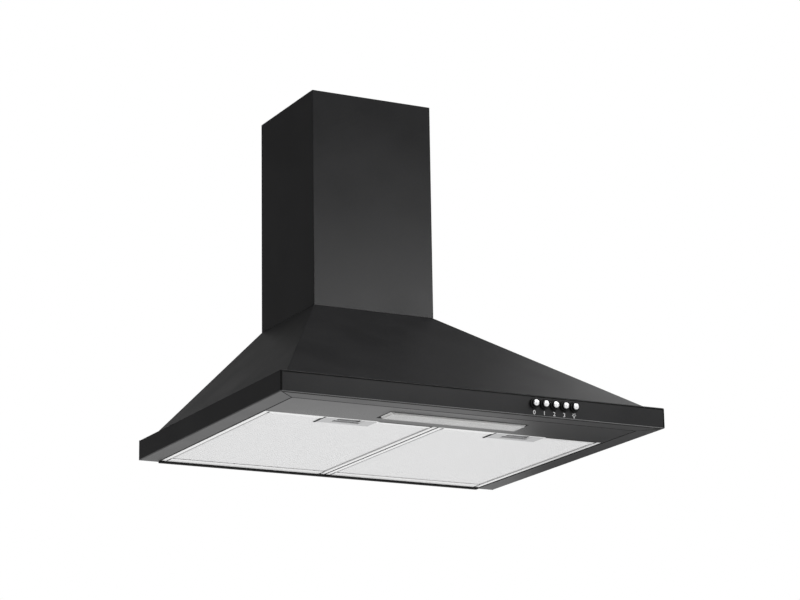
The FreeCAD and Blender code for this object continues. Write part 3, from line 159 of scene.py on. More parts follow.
materials = {
    # polyester powder coat on steel, baked: satin black with a faint orange peel that breaks up the gloss
    "black_paint": grainedFinish("satinPowderCoat", ("#1c1c1d", "#232324"), 1.6, 0.006, (0.34, 0.42),
                                 Specular_IOR_Level=0.3),
    # the same powder coat on the strip under the hood, a little glossier where it is wiped
    "bottom_paint": grainedFinish("wipedPowderCoat", ("#1c1c1d", "#232324"), 1.6, 0.006, (0.26, 0.34),
                                  Specular_IOR_Level=0.34),
    # hot-dipped zinc on steel: a patchwork of frozen crystals, each grey in its own way
    "galvanised": grainedFinish("galvanisedSteel", ("#8f9295", "#a9acae"), 5.5, 0.004, (0.34, 0.55),
                                cells=True, Metallic=0.9),
    # rolled aluminium strip, bent into a frame: bright, with fine lines along the roll
    "filter_aluminium": grainedFinish("rolledAluminium", ("#e2e2e2", "#f3f3f3"), 1.2, 0.004, (0.26, 0.4),
                                      stretch=(1, 0.06, 1), Metallic=0.85),
    # pale grey ABS, spark-eroded mould: matt, with an even fine grain
    "latch_plastic": grainedFinish("greyMouldedPlastic", ("#bfbfc0", "#cdcdce"), 0.7, 0.01, (0.45, 0.55)),
    # hardened spring strip: blued grey and smooth
    "spring_steel": grainedFinish("springSteel", ("#7d8087", "#a3a6ab"), 0.6, 0.002, (0.25, 0.35),
                                  stretch=(1, 1, 0.1), Metallic=1.0),
    # satin chrome over moulded plastic: bright and soft, with the faint dulling of fingers
    "chrome_cap": grainedFinish("satinChrome", ("#eeeff0", "#fafafa"), 2.5, 0.001, (0.34, 0.42), cloud=9,
                                Metallic=1.0),
    # black ABS from a fine mould: deep black, with highlights that hardly show
    "button_plastic": grainedFinish("blackGlossPlastic", ("#050505", "#0a0a0a"), 0.9, 0.004, (0.4, 0.5),
                                    Specular_IOR_Level=0.2),
    # black nylon of the switch block, moulded: flat, with an even grain
    "switch_plastic": grainedFinish("blackMouldedPlastic", ("#0c0c0c", "#141414"), 0.8, 0.01, (0.5, 0.6),
                                    Specular_IOR_Level=0.3),
    # polypropylene casing: dark grey-black, with the flow marks of a large moulding
    "blower_plastic": grainedFinish("blackPolypropylene", ("#1d1d1e", "#2a2a2b"), 1.4, 0.02, (0.45, 0.58)),
    # moulded polyamide of the blower wheel: dark grey and waxy
    "wheel_plastic": grainedFinish("greyPolyamide", ("#3c3c3e", "#4b4b4d"), 1.0, 0.01, (0.45, 0.55)),
    # moulded polypropylene of the duct spigot and its flaps: soft black
    "spigot_plastic": grainedFinish("blackRibbedMoulding", ("#161617", "#212122"), 1.2, 0.015, (0.42, 0.52)),
    # enamelled motor can: grey-green stoved paint with a slight texture
    "motor_steel": grainedFinish("stovedGreyEnamel", ("#34383a", "#444949"), 2.0, 0.01, (0.35, 0.45)),
    # ground shaft steel: bright, its grinding lines running round it
    "shaft_steel": grainedFinish("groundSteel", ("#9a9b9d", "#c6c7c8"), 0.5, 0.002, (0.2, 0.32),
                                 stretch=(6, 1, 1), Metallic=1.0),
    # natural rubber bushes: dull black with a dusty bloom
    "bush_rubber": grainedFinish("dullRubber", ("#0e0e0e", "#1b1b1a"), 1.1, 0.02, (0.7, 0.85),
                                 Specular_IOR_Level=0.25),
    # bright zinc plate on screws: pale blue-grey with a cloudy passivated shine
    "zinc_screws": grainedFinish("zincPlate", ("#a5a9ad", "#cfd2d4"), 0.9, 0.004, (0.25, 0.4), cloud=5,
                                 Metallic=1.0),
    # white stoved enamel inside the lamp box, which throws the light down
    "lamp_box_white": grainedFinish("whiteEnamel", ("#d9d9d6", "#ececea"), 2.2, 0.008, (0.3, 0.4)),
    # glazed lamp holder: warm white and faintly glossy
    "lamp_ceramic": grainedFinish("glazedCeramic", ("#dcd8cd", "#efece3"), 1.5, 0.006, (0.2, 0.3)),
    # rolled brass of the bulbs' caps: yellow and bright, with fine lines from the rolls
    "bulb_brass": grainedFinish("rolledBrass", ("#a98f52", "#d0b877"), 1.0, 0.004, (0.25, 0.4),
                                stretch=(5, 1, 1), Metallic=1.0),
    # frosted glass bulb: milky, lit through
    "bulb_glass": grainedFinish("frostedGlass", ("#d3d3cf", "#f0f0ec"), 1.0, 0.004, (0.3, 0.45), Alpha=0.75),
    # clear pressed cover: shows the white box and the lamps behind it, brightest on its ribs
    "lens_glass": grainedFinish("clearPressedCover", ("#f0f0f0", "#fdfdfd"), 3.0, 0.02, (0.1, 0.22),
                                stretch=(0.12, 1, 1), cloud=14, Alpha=0.4),
    # moulded can of the capacitor: pale, dry and even
    "capacitor_can": grainedFinish("paleMouldedCan", ("#cbcbc6", "#dadad5"), 1.0, 0.01, (0.4, 0.5)),
    # moulded nylon of the terminal box: pale grey with a slight bloom
    "terminal_plastic": grainedFinish("paleGreyNylon", ("#bcbcb8", "#cacac6"), 0.9, 0.012, (0.45, 0.55)),
}
openMesh = expandedAluminium()
# stoved white ink of the legends: flat, just off white
legendInk = grainedFinish("whitePadPrint", ("#d6d6d6", "#efefef"), 0.5, 0.002, (0.5, 0.6), cloud=4)
# painted shade: a grey line in the groove inside each long side of the filter, streaked along its length
grooveShade = grainedFinish("paintedGrooveShade", ("#9a9a9a", "#b4b4b4"), 1.0, 0.004, (0.35, 0.5),
                          stretch=(1, 0.05, 1), Metallic=0.3)
# painted shade: a dull black, pitted strip under the back lip, standing in for its shadow
backLipShade = grainedFinish("backLipPaintedShade", ("#0d0d0d", "#191919"), 1.3, 0.08, (0.8, 0.95),
                         Specular_IOR_Level=0.2)
# painted highlight: white strips on the filter frame's edges, whiter than its aluminium
edgeHighlight = grainedFinish("paintedEdgeHighlight", ("#fcfcfc", "#ffffff"), 1.4, 0.001, (0.28, 0.38),
                             stretch=(0.06, 1, 1), Metallic=0.2)
# painted highlight: a paler grey line on the fold along the rim's foot, for the light caught on the bend
paintedFoldHighlight = grainedFinish("paintedFoldHighlight", ("#5c5c5c", "#747474"), 2.2, 0.004, (0.35, 0.45),
                           stretch=(0.1, 1, 1))
# the shadow in a folded seam, where neither paint nor light reaches
seamShade = grainedFinish("unlitSeam", ("#050505", "#0b0b0b"), 0.8, 0.004, (0.6, 0.7),
                          Specular_IOR_Level=0.1)
print("finishes ready:", len(bpy.data.materials))

slots = {entry["node"]: entry["material_slot"] for entry in frame["record"]["subparts"]}
for name, node in frame["nodes"].items():
    finish = openMesh if name.startswith(("filter_skins", "filter_mesh")) else materials[slots[name]]
    node.data.materials.clear()
    node.data.materials.append(finish)
print("frame pieces finished:", len(frame["nodes"]))


def meshFrom(builder, name):
    bmesh.ops.recalc_face_normals(builder, faces=builder.faces)
    mesh = bpy.data.meshes.new(name)
    builder.to_mesh(mesh)
    builder.free()
    return mesh


def linkObject(name, data):
    thing = bpy.data.objects.new(name, data)
    bpy.context.scene.collection.objects.link(thing)
    return thing


def addPiece(name, form, finish, body, smooth=None):
    # form: a bmesh, or a mesh that is ready; smooth: edges flatter than this, in degrees, are shaded round
    mesh = meshFrom(form, name) if isinstance(form, bmesh.types.BMesh) else form
    mesh.materials.append(finish)
    piece = linkObject(name, mesh)
    if smooth is not None:
        mesh.shade_smooth()
        mesh.set_sharp_from_angle(angle=math.radians(smooth))
    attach(piece, body)
    return piece


def addBlock(builder, low, high):
    # a closed block between two corners, in mm and levels
    corners = [builder.verts.new(place(x, y, z)) for x in (low[0], high[0]) for y in (low[1], high[1])
               for z in (low[2], high[2])]
    for quad in ((0, 1, 3, 2), (4, 6, 7, 5), (0, 4, 5, 1), (2, 3, 7, 6), (0, 2, 6, 4), (1, 5, 7, 3)):
        builder.faces.new([corners[index] for index in quad])


def addTurned(builder, centre, profile, sides):
    # spins (reach from the wall, radius) points about an axis along Y; a zero radius closes the form
    rings = []
    for y, radius in profile:
        if radius == 0:
            rings.append([builder.verts.new(place(centre[0], y, centre[1]))])
            continue
        rings.append([builder.verts.new(place(centre[0] + radius * math.cos(turn), y,
                                              centre[1] + radius * math.sin(turn)))
                      for turn in (2 * math.pi * side / sides for side in range(sides))])
    for near, far in zip(rings, rings[1:]):
        for side in range(sides):
            after = (side + 1) % sides
            loop = [near[side % len(near)], near[after % len(near)],
                    far[after % len(far)], far[side % len(far)]]
            corners = []
            for corner in loop:
                if corner not in corners:
                    corners.append(corner)
            builder.faces.new(corners)


def closeBetween(builder, ends):
    # the sides between two rings of corners, and a face over each ring
    near, far = ends
    for index in range(len(near)):
        after = (index + 1) % len(near)
        builder.faces.new([near[index], near[after], far[after], far[index]])
    for end in ends:
        builder.faces.new(end)


def addProfile(builder, profile, x0, x1):
    # a closed (y, level) section drawn out along X, ends closed
    closeBetween(builder, [[builder.verts.new(place(x, y, z)) for y, z in profile] for x in (x0, x1)])


def addStrip(builder, path, width, low, high):
    # a straight closed bar between two (x, y) points, lying between two levels
    start, end = (Vector(point) for point in path)
    side = Vector((start.y - end.y, end.x - start.x)).normalized() * width / 2
    corners = [start - side, end - side, end + side, start + side]
    closeBetween(builder, [[builder.verts.new(place(point.x, point.y, z)) for point in corners]
                           for z in (low, high)])


# push buttons; dome and collar are (reach from the wall, radius) points
buttons = {"first": 86.5, "pitch": 16, "count": 5, "level": 17.7, "sides": 40,
           "dome": [(-505.0, 0), (-505.0, 4.0), (-505.3, 4.3), (-506.9, 4.3), (-507.5, 4.05), (-507.8, 3.5),
                    (-507.93, 2.4), (-507.98, 1.2), (-507.99, 0)],
           "collar": [(-499.9, 4.5), (-499.9, 7.5), (-502.4, 7.4), (-503.2, 7.0), (-503.5, 6.3),
                      (-503.5, 5.3), (-503.1, 4.7), (-501.5, 4.5), (-499.9, 4.5)]}


def buttonAcross(number):
    return buttons["first"] + number * buttons["pitch"]


def makeButtons():
    for number in range(buttons["count"]):
        centre = (buttonAcross(number), buttons["level"])
        dome, collar = bmesh.new(), bmesh.new()
        addTurned(dome, centre, buttons["dome"], buttons["sides"])
        cap = addPiece("buttonDome%d" % number, dome, materials["chrome_cap"], "button_%d" % number,
                       smooth=40)
        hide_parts("button_cap_%d" % number)
        addTurned(collar, centre, buttons["collar"], buttons["sides"])
        addPiece("buttonCollar%d" % number, collar, materials["button_plastic"], "hood",
                 smooth=40)


# figures printed under the first four buttons, for off and three speeds
legends = {"digits": "0123", "rim": -500, "level": 2.4, "height": 8.4, "inkDepth": 0.05, "proud": 0.02}


def makeLegends():
    for number, digit in enumerate(legends["digits"]):
        curve = bpy.data.curves.new("legend%s" % digit, "FONT")
        curve.body = digit
        curve.size = legends["height"] * mm
        curve.extrude = legends["inkDepth"] * mm
        curve.align_x = "CENTER"
        curve.materials.append(legendInk)
        legend = linkObject("legend%s" % digit, curve)
        legend.location = place(buttonAcross(number), legends["rim"] - legends["proud"], legends["level"])
        legend.rotation_euler = (math.pi / 2, 0, 0)
        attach(legend, "hood")


# the small lamp printed under the fifth button: a ring, two bars below it and a fan of dotted rays
lampSign = {"above": 3.7, "proud": 0.07, "bite": 0.03, "ring": (1.5, 2.1), "sides": 24,
            "barHalf": 1.0, "barsBelow": 2.3, "bars": ((0.3, 0.9), (1.3, 1.8)),
            "rays": (0, 45, 90, 135, 180), "dotReach": (2.7, 3.1), "dotHalf": 0.3}


def makeLampSign():
    sign = bmesh.new()
    x = buttonAcross(buttons["count"] - 1)
    level = legends["level"] + lampSign["above"]
    front, back = legends["rim"] - lampSign["proud"], legends["rim"] + lampSign["bite"]
    bore, edge = lampSign["ring"]
    addTurned(sign, (x, level), [(back, bore), (back, edge), (front, edge), (front, bore), (back, bore)],
              lampSign["sides"])
    half, foot = lampSign["barHalf"], level - lampSign["barsBelow"]
    for top, bottom in lampSign["bars"]:
        addBlock(sign, (x - half, front, foot - bottom), (x + half, back, foot - top))
    half = lampSign["dotHalf"]
    for turn in lampSign["rays"]:
        for reach in lampSign["dotReach"]:
            across = x + reach * math.cos(math.radians(turn))
            up = level + reach * math.sin(math.radians(turn))
            addBlock(sign, (across - half, front, up - half), (across + half, back, up + half))
    addPiece("legendLamp", sign, legendInk, "hood")


makeButtons()
makeLegends()
makeLampSign()
print("buttons made")


# the dark lines laid at these levels are painted shade
lineLevels = (-0.05, 0.2)  # a dark line laid on the underside: how low it hangs, how high it reaches

# lamp cover; ribShape is (share of a rib's width, share of its depth) points; shadeFront, shadeRear and
# shadeEnd size the painted shade round it
lens = {"half": 107.5, "front": -442, "rear": -409, "low": -3, "high": 1.2, "wall": 1.3, "edge": 0.8,
        "ribs": 15, "ribDepth": 0.45, "ribShape": ((0.25, 0.8), (0.5, 1.0), (0.75, 0.8), (1.0, 0.0)),
        "taper": 3.5, "shadeFront": 3, "shadeRear": 8, "shadeEnd": 2}


def makeLens():
    cover = bmesh.new()
    front, rear, low, wall = lens["front"], lens["rear"], lens["low"], lens["wall"]
    start, end = front + lens["edge"], rear - lens["edge"]
    pitch = (end - start) / lens["ribs"]
    outside = [(front, lens["high"]), (front, low + lens["edge"]), (start, low + lens["ribDepth"])]
    for rib in range(lens["ribs"]):
        for share, drop in lens["ribShape"]:
            outside.append((start + (rib + share) * pitch, low + lens["ribDepth"] * (1 - drop)))
    outside += [(rear, low + lens["edge"]), (rear, lens["high"])]
    inside = [(rear - wall, lens["high"]), (rear - wall, low + wall), (front + wall, low + wall),
              (front + wall, lens["high"])]
    addProfile(cover, outside + inside, -lens["half"], lens["half"])
    for side in (-1, 1):
        x0, x1 = sorted((side * lens["half"], side * (lens["half"] - wall)))
        addBlock(cover, (x0, front + wall, low + wall), (x1, rear - wall, lens["high"]))
    # the ends lean in towards the bottom
    for corner in cover.verts:
        if corner.co.z < place(0, 0, low / 2).z:
            corner.co.x *= 1 - lens["taper"] / lens["half"]
    piece = addPiece("ribbedLampCover", cover, materials["lens_glass"], "lamp_cover", smooth=50)
    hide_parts("lamp_lens")


def makeLensGapShade():
    # painted shade round the cover: a dark strip, wide behind, where it clips up, and narrow in front and at
    # the ends
    gap = bmesh.new()
    ends = lens["half"] + lens["shadeEnd"]
    low, high = lineLevels
    addBlock(gap, (-ends, lens["front"] - lens["shadeFront"], low), (ends, lens["front"], high))
    addBlock(gap, (-ends, lens["rear"], low), (ends, lens["rear"] + lens["shadeRear"], high))
    for side in (-1, 1):
        x0, x1 = sorted((side * ends, side * lens["half"]))
        addBlock(gap, (x0, lens["front"], low), (x1, lens["rear"], high))
    addPiece("lampCoverGapShade", gap, seamShade, "hood")


makeLens()
makeLensGapShade()
print("lamp cover made")


# grease filters: middle and half width across, front and rear from the wall, latchRoom left round the latch
filters = {"middle": 134.75, "half": 134.25, "front": -380, "rear": -9, "border": 9, "skinLow": 1.2,
           "latchHalf": 40, "latchRear": -344, "latchRoom": 1, "slideTravel": 8,
           "diamondLong": 12, "diamondShort": 6.4, "strand": 0.9, "strandDrop": 0.15, "strandBite": 0.05}


def clipToWindow(start, end, window):
    # the part of a line inside a rectangle, or nothing
    low, high = 0.0, 1.0
    step = (end[0] - start[0], end[1] - start[1])
    tiny = 1e-6
    for axis in (0, 1):
        if abs(step[axis]) < tiny:
            if not window[axis][0] <= start[axis] <= window[axis][1]:
                return None
            continue
        first = (window[axis][0] - start[axis]) / step[axis]
        second = (window[axis][1] - start[axis]) / step[axis]
        low = max(low, min(first, second))
        high = min(high, max(first, second))
    if high - low < tiny:
        return None
    return [(start[0] + share * step[0], start[1] + share * step[1]) for share in (low, high)]


def makeStrands(side, sign):
    # the raised strands of the expanded sheet, crossing in diamonds over the window left by the frame
    centre = sign * filters["middle"]
    left = centre - filters["half"] + filters["border"]
    right = centre + filters["half"] - filters["border"]
    beside = filters["latchHalf"] + filters["latchRoom"]
    notch = filters["latchRear"] + filters["latchRoom"]
    front, rear = filters["front"] + filters["border"], filters["rear"] - filters["border"]
    windows = [((left, right), (notch, rear)),
               ((left, centre - beside), (front, notch)),
               ((centre + beside, right), (front, notch))]
    strands = bmesh.new()
    rise = (right - left) * filters["diamondShort"] / filters["diamondLong"]
    count = int((filters["rear"] - filters["front"] + rise) / filters["diamondShort"]) + 2
    low, high = filters["skinLow"] - filters["strandDrop"], filters["skinLow"] + filters["strandBite"]
    for way in (1, -1):
        for number in range(count):
            y = filters["front"] + number * filters["diamondShort"] - (rise if way > 0 else 0)
            for window in windows:
                run = clipToWindow((left, y), (right, y + way * rise), window)
                if run:
                    addStrip(strands, run, filters["strand"], low, high)
    addPiece("filterStrands_" + side, strands, openMesh, "filter_" + side)


# painted highlight and shade on a filter's frame, set in from its sides and ends; proud is below its face,
# bite above
frameShadeAndHighlight = {"level": 0.4, "proud": 0.2, "groove": (10, 7.4), "side": (7.2, 1.2), "sideEnds": (3, 2),
        "sideBite": 0.1, "frontEdge": 11, "rearEdge": 20, "foldEdge": 3.5, "endInset": 0.3,
        "outerGap": 1.0, "latchGap": 2.6, "latchGapEnd": 3, "shadeProud": 0.05, "shadeBite": 0.3,
        "pinInset": (9.5, 4.5), "pinHalf": (1.6, 2.2)}


def makeFrameShadeAndHighlight(side, sign):
    # painted highlights on the frame's edges, a grey line painted as the shade in each long side's groove,
    # and painted shadows in the gaps and the pin hole
    centre = sign * filters["middle"]
    front, rear, half = filters["front"], filters["rear"], filters["half"]
    level, gapWidth = frameShadeAndHighlight["level"], frameShadeAndHighlight["latchGap"]
    low, deep = level - frameShadeAndHighlight["proud"], level + frameShadeAndHighlight["shadeBite"]
    lines, edges, shades = bmesh.new(), bmesh.new(), bmesh.new()
    for edge in (-1, 1):
        for target, insets in ((lines, frameShadeAndHighlight["groove"]), (edges, frameShadeAndHighlight["side"])):
            x0, x1 = sorted(centre + edge * (half - inset) for inset in insets)
            addBlock(target, (x0, front + frameShadeAndHighlight["sideEnds"][0], low),
                     (x1, rear - frameShadeAndHighlight["sideEnds"][1], level + frameShadeAndHighlight["sideBite"]))
        inset = frameShadeAndHighlight["outerGap"] / 2
        x = centre + edge * (half - inset)
        addStrip(shades, ((x, front + inset), (x, rear - inset)), frameShadeAndHighlight["outerGap"],
                 level - frameShadeAndHighlight["shadeProud"], deep)
    gap = centre - filters["latchHalf"] - gapWidth / 2
    ends = (front + frameShadeAndHighlight["latchGapEnd"], filters["latchRear"] + frameShadeAndHighlight["latchGapEnd"])
    addStrip(shades, ((gap, ends[0]), (gap, ends[1])), gapWidth, low, deep)
    left, right = centre - half + frameShadeAndHighlight["side"][0], centre + half - frameShadeAndHighlight["side"][0]
    start, end = front + frameShadeAndHighlight["endInset"], rear - frameShadeAndHighlight["endInset"]
    beside = centre + filters["latchHalf"] + filters["latchRoom"]
    for x0, x1 in ((left, gap - gapWidth / 2), (beside, right)):
        addBlock(edges, (x0, start, low), (x1, front + frameShadeAndHighlight["frontEdge"], level))
    addBlock(edges, (gap + gapWidth / 2, start, low), (right, front + frameShadeAndHighlight["foldEdge"], level))
    addBlock(edges, (left, rear - frameShadeAndHighlight["rearEdge"], low), (right, end, level))
    x, y = centre + half - frameShadeAndHighlight["pinInset"][0], rear - frameShadeAndHighlight["pinInset"][1]
    across, along = frameShadeAndHighlight["pinHalf"]
    addBlock(shades, (x - across, y - along, low - frameShadeAndHighlight["shadeProud"]), (x + across, y + along, deep))
    for name, builder, finish, slotName in (("filterGrooveShades_", lines, grooveShade, "filter_aluminium"),
                                            ("filterEdgeHighlights_", edges, edgeHighlight, "filter_aluminium"),
                                            ("filterShades_", shades, seamShade, "button_plastic")):
        addPiece(name + side, builder, finish, "filter_" + side)


# the slide's finger hole, left and right from the filter's middle; past is how far its shadows run on
fingerHole = {"left": -18, "right": 15, "front": -375.1, "rear": -364.1, "level": 0.8, "line": 0.8,
              "past": 1, "endWidth": 3}


def makeHoleShades(side, sign):
    # the hole's rear wall and its right end lie in the dark
    left, right = (sign * filters["middle"] + fingerHole[end] for end in ("left", "right"))
    past, line = fingerHole["past"], fingerHole["line"]
    wall = fingerHole["rear"] - line / 2
    low, high = fingerHole["level"] - frameShadeAndHighlight["shadeProud"], fingerHole["level"] + frameShadeAndHighlight["shadeBite"]
    shades = bmesh.new()
    addStrip(shades, ((left, wall), (right + past, wall)), line, low, high)
    addBlock(shades, (right - past, fingerHole["front"] + past, low),
             (right - past + fingerHole["endWidth"], wall, high))
    addPiece("latchShades_" + side, shades, seamShade, "latch_" + side)


def makeSpring(side):
    # the leaf spring behind the slide, a rigid copy of its part's mesh in spring steel; on the real filter it
    # closes up against its rear end as the slide is drawn back
    node = "latch_spring_" + side
    leaf = addPiece("latchLeaf_" + side, frame["nodes"][node].data.copy(), materials["spring_steel"],
                    "filter_" + side)
    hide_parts(node)
    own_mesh(leaf)


for side, sign in (("left", -1), ("right", 1)):
    makeStrands(side, sign)
    makeFrameShadeAndHighlight(side, sign)
    makeHoleShades(side, sign)
    makeSpring(side)
print("filter sheets made")


# sizes for the canopy's painted shade lines at its folds and seam joints, and its painted highlight at the
# rim's foot;
# frontFold shades the lip's front bend, fold the bend at the rim's top
seamShadeAndHighlight = {"half": 300, "front": -500, "rim": 30, "lip": 30, "backLip": 8, "bend": 1.6, "width": 1.6,
         "frontFold": 3.2, "frontFoldEnds": 4, "fold": 1.6, "foldEnds": 2, "corner": 2.0, "cornerFoot": 1.5,
         "highlightHeight": 0.9, "highlightFoot": 0.3, "highlightEnds": 1, "proud": 0.05, "bite": 0.1}


def makeLipShades():
    # painted shade: dark lines where the lip's two folds meet in a mitre at each front corner, along its
    # inner edge, which turns up into shadow, and along its front bend
    lines = bmesh.new()
    inner, mouth = seamShadeAndHighlight["half"] - seamShadeAndHighlight["lip"], seamShadeAndHighlight["front"] + seamShadeAndHighlight["lip"]
    width = seamShadeAndHighlight["width"]
    bendLine = seamShadeAndHighlight["front"] + seamShadeAndHighlight["bend"]
    for side in (-1, 1):
        outer = (side * (seamShadeAndHighlight["half"] - seamShadeAndHighlight["bend"]), bendLine)
        addStrip(lines, (outer, (side * inner, mouth)), width, *lineLevels)
        x = side * (inner + width / 2)
        addStrip(lines, ((x, mouth), (x, -seamShadeAndHighlight["backLip"])), width, *lineLevels)
    y = mouth - width / 2
    addStrip(lines, ((-inner, y), (inner, y)), width, *lineLevels)
    end = seamShadeAndHighlight["half"] - seamShadeAndHighlight["frontFoldEnds"]
    addBlock(lines, (-end, bendLine, lineLevels[0]), (end, bendLine + seamShadeAndHighlight["frontFold"], lineLevels[1]))
    addPiece("lipSeamShades", lines, seamShade, "hood")


def makeRimShades():
    # painted shade: a dark line along the fold under the rim's top, and dark lines down its front corners,
    # for the shade in the butt joints there
    lines = bmesh.new()
    skin = seamShadeAndHighlight["front"] - seamShadeAndHighlight["proud"]
    top = seamShadeAndHighlight["rim"] - seamShadeAndHighlight["bend"]
    end = seamShadeAndHighlight["half"] - seamShadeAndHighlight["foldEnds"]
    addBlock(lines, (-end, skin, top - seamShadeAndHighlight["fold"]), (end, seamShadeAndHighlight["front"] + seamShadeAndHighlight["bite"], top))
    for side in (-1, 1):
        x0, x1 = sorted(side * reach for reach in (seamShadeAndHighlight["half"] + seamShadeAndHighlight["proud"],
                                                   seamShadeAndHighlight["half"] - seamShadeAndHighlight["corner"]))
        addBlock(lines, (x0, skin, seamShadeAndHighlight["cornerFoot"]), (x1, seamShadeAndHighlight["front"] + seamShadeAndHighlight["corner"], top))
    addPiece("rimFoldShades", lines, seamShade, "hood")


def makeRimHighlight():
    # painted highlight: a pale grey line along the fold at the rim's foot
    line = bmesh.new()
    end = seamShadeAndHighlight["half"] - seamShadeAndHighlight["highlightEnds"]
    addBlock(line, (-end, seamShadeAndHighlight["front"] - seamShadeAndHighlight["proud"], seamShadeAndHighlight["highlightFoot"]),
             (end, seamShadeAndHighlight["front"] + seamShadeAndHighlight["bite"], seamShadeAndHighlight["highlightFoot"] + seamShadeAndHighlight["highlightHeight"]))
    addPiece("rimHighlight", line, paintedFoldHighlight, "hood")


# painted shade: a black strip under the back lip, against the wall, for the lip's shadow
backLipShadeSizes = {"ends": 1, "front": -8.5, "rear": -0.4, "low": -2.0, "high": 0.05}


def makeBackLipShade():
    # a dark strip painted as the shade under the back lip
    strip = bmesh.new()
    end = seamShadeAndHighlight["half"] - seamShadeAndHighlight["lip"] - backLipShadeSizes["ends"]
    addBlock(strip, (-end, backLipShadeSizes["front"], backLipShadeSizes["low"]), (end, backLipShadeSizes["rear"], backLipShadeSizes["high"]))
    addPiece("backLipShadeStrip", strip, backLipShade, "hood")


makeLipShades()
makeRimShades()
makeRimHighlight()
makeBackLipShade()
print("seams made")


# floor and surroundings, in metres; shadowShare is how much of the floor's white a shadow can take
studio = {"floorLevel": -1.65, "floorSize": 14, "shadowShare": 0.2,
          "flag": {"y": 0.8, "left": 0.82, "right": 2.4, "low": -0.72, "high": -0.2},
          "below": 0.98, "above": 0.07, "horizon": (-0.12, 0.18),
          "backdropWay": (0.46, 0.888, 0), "backdropSide": (0.8, 0.93), "backdropTop": (0.27, 0.44)}


def addQuad(name, corners, finish):
    builder = bmesh.new()
    builder.faces.new([builder.verts.new(corner) for corner in corners])
    mesh = meshFrom(builder, name)
    mesh.materials.append(finish)
    return linkObject(name, mesh)


def litPaper():
    # lit seamless paper: matt and near white, so that it lights the underside and still takes a soft shadow;
    # its back is clear, so that the hood can be looked at from straight below
    material, tree, shader = startMaterial("litPaper", {"Base Color": linear("#efefee"), "Roughness": 0.9})
    glow = addNode(tree, "ShaderNodeEmission", {"Color": linear("#ffffff"), "Strength": 1.0})
    mixed = addNode(tree, "ShaderNodeMixShader", {"Fac": 1 - studio["shadowShare"]},
                    {1: shader.outputs["BSDF"], 2: glow.outputs["Emission"]})
    faces = addNode(tree, "ShaderNodeNewGeometry")
    clear = addNode(tree, "ShaderNodeBsdfTransparent")
    oneSided = addNode(tree, "ShaderNodeMixShader", None,
                       {0: faces.outputs["Backfacing"], 1: mixed.outputs["Shader"], 2: clear.outputs["BSDF"]})
    tree.links.new(oneSided.outputs["Shader"], tree.nodes["Material Output"].inputs["Surface"])
    return material


def makeFloor():
    half = studio["floorSize"] / 2
    corners = [(x, y, studio["floorLevel"]) for x, y in ((-half, -half), (half, -half),
                                                         (half, half), (-half, half))]
    floor = addQuad("floor", corners, litPaper())


def makeFlag():
    # a dark card behind on the right, seen only in gloss: it takes the shine off the underside's far end
    card = studio["flag"]
    corners = [(card[x], card["y"], card[z]) for x, z in (("left", "low"), ("right", "low"),
                                                          ("right", "high"), ("left", "high"))]
    flag = addQuad("flag", corners, materials["black_paint"])
    flag.visible_camera = flag.visible_diffuse = flag.visible_shadow = flag.visible_transmission = False


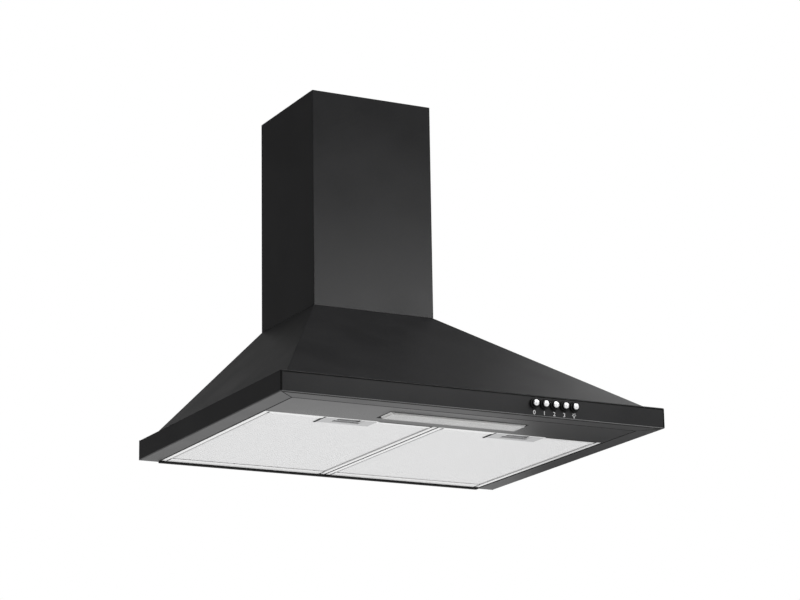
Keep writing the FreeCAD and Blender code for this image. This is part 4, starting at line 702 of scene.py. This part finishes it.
def makeWorld():
    # white to the camera; to the object a white sweep below the horizon and a dimmer room above it, and in
    # gloss and through glass also the white backdrop behind
    world = bpy.data.worlds.new("studio")
    bpy.context.scene.world = world
    world.use_nodes = True
    tree = world.node_tree
    backdrop = tree.nodes["Background"]
    backdrop.inputs["Color"].default_value = linear("#ffffff")
    where = addNode(tree, "ShaderNodeTexCoord")
    height = addNode(tree, "ShaderNodeSeparateXYZ", links={"Vector": where.outputs["Generated"]})
    room = addNode(tree, "ShaderNodeMapRange",
                   {"From Min": studio["horizon"][0], "From Max": studio["horizon"][1],
                    "To Min": studio["below"], "To Max": studio["above"]},
                   {"Value": height.outputs["Z"]}, interpolation_type="SMOOTHSTEP")
    behind = addNode(tree, "ShaderNodeVectorMath", {1: studio["backdropWay"]},
                     {0: where.outputs["Generated"]}, operation="DOT_PRODUCT")
    side, top = studio["backdropSide"], studio["backdropTop"]
    across = addNode(tree, "ShaderNodeMapRange", {"From Min": side[0], "From Max": side[1]},
                     {"Value": behind.outputs["Value"]}, interpolation_type="SMOOTHSTEP")
    up = addNode(tree, "ShaderNodeMapRange", {"From Min": top[1], "From Max": top[0]},
                 {"Value": height.outputs["Z"]}, interpolation_type="SMOOTHSTEP")
    panel = addNode(tree, "ShaderNodeMath", links={0: across.outputs["Result"], 1: up.outputs["Result"]},
                    operation="MULTIPLY")
    path = addNode(tree, "ShaderNodeLightPath").outputs
    mirrored = addNode(tree, "ShaderNodeMath",
                       links={0: path["Is Glossy Ray"], 1: path["Is Transmission Ray"]}, operation="MAXIMUM")
    shown = addNode(tree, "ShaderNodeMath", links={0: mirrored.outputs["Value"], 1: panel.outputs["Value"]},
                    operation="MULTIPLY")
    white = addNode(tree, "ShaderNodeMath", links={0: path["Is Camera Ray"], 1: shown.outputs["Value"]},
                    operation="MAXIMUM")
    seen = addNode(tree, "ShaderNodeMix", {"B": 1.0},
                   {"Factor": white.outputs["Value"], "A": room.outputs["Result"]})
    tree.links.new(seen.outputs["Result"], backdrop.inputs["Strength"])


lamps = {  # place, aim and size in metres, power in watts
    "frontBox": {"at": (0.45, -1.1, 0.26), "aim": (0, -0.25, 0.05), "size": (0.8, 0.2), "power": 3.5},
    "topBox": {"at": (-0.1, -0.75, 2.0), "aim": (0, -0.3, 0), "size": (1.2, 1.0), "power": 26},
    "rightBox": {"at": (1.7, 0.9, 1.35), "aim": (0.2, -0.4, -0.1), "size": (0.7, 0.7), "power": 2},
}


def makeLamps():
    for name, lamp in lamps.items():
        light = bpy.data.lights.new(name, "AREA")
        light.shape = "RECTANGLE"
        light.size, light.size_y = lamp["size"]
        light.energy = lamp["power"]
        holder = linkObject(name, light)
        holder.location = lamp["at"]
        aim = Vector(lamp["aim"]) - Vector(lamp["at"])
        holder.rotation_euler = aim.to_track_quat("-Z", "Y").to_euler()
        holder.visible_camera = False


# the camera: place in metres, turns in radians, lens and sensor in mm
view = {"at": (-1.76704, -3.66202, -0.96667), "yaw": 0.48005, "pitch": 0.25919, "roll": -0.015466,
        "lens": 121.635, "sensor": 36.0}


def makeCamera():
    camera = bpy.data.cameras.new("photoCamera")
    camera.sensor_fit = "HORIZONTAL"
    camera.sensor_width = view["sensor"]
    camera.lens = view["lens"]
    yaw, pitch, roll = view["yaw"], view["pitch"], view["roll"]
    ahead = Vector((math.sin(yaw) * math.cos(pitch), math.cos(yaw) * math.cos(pitch), math.sin(pitch)))
    right = Vector((math.cos(yaw), -math.sin(yaw), 0))
    up = right.cross(ahead)
    across = right * math.cos(roll) + up * math.sin(roll)
    upright = up * math.cos(roll) - right * math.sin(roll)
    turn = Matrix((across, upright, -ahead)).transposed()
    holder = linkObject("photoCamera", camera)
    holder.matrix_world = Matrix.Translation(view["at"]) @ turn.to_4x4()
    bpy.context.scene.camera = holder


makeFloor()
makeFlag()
makeWorld()
makeLamps()
makeCamera()
bpy.context.scene.view_settings.view_transform = "Standard"
print("studio made")
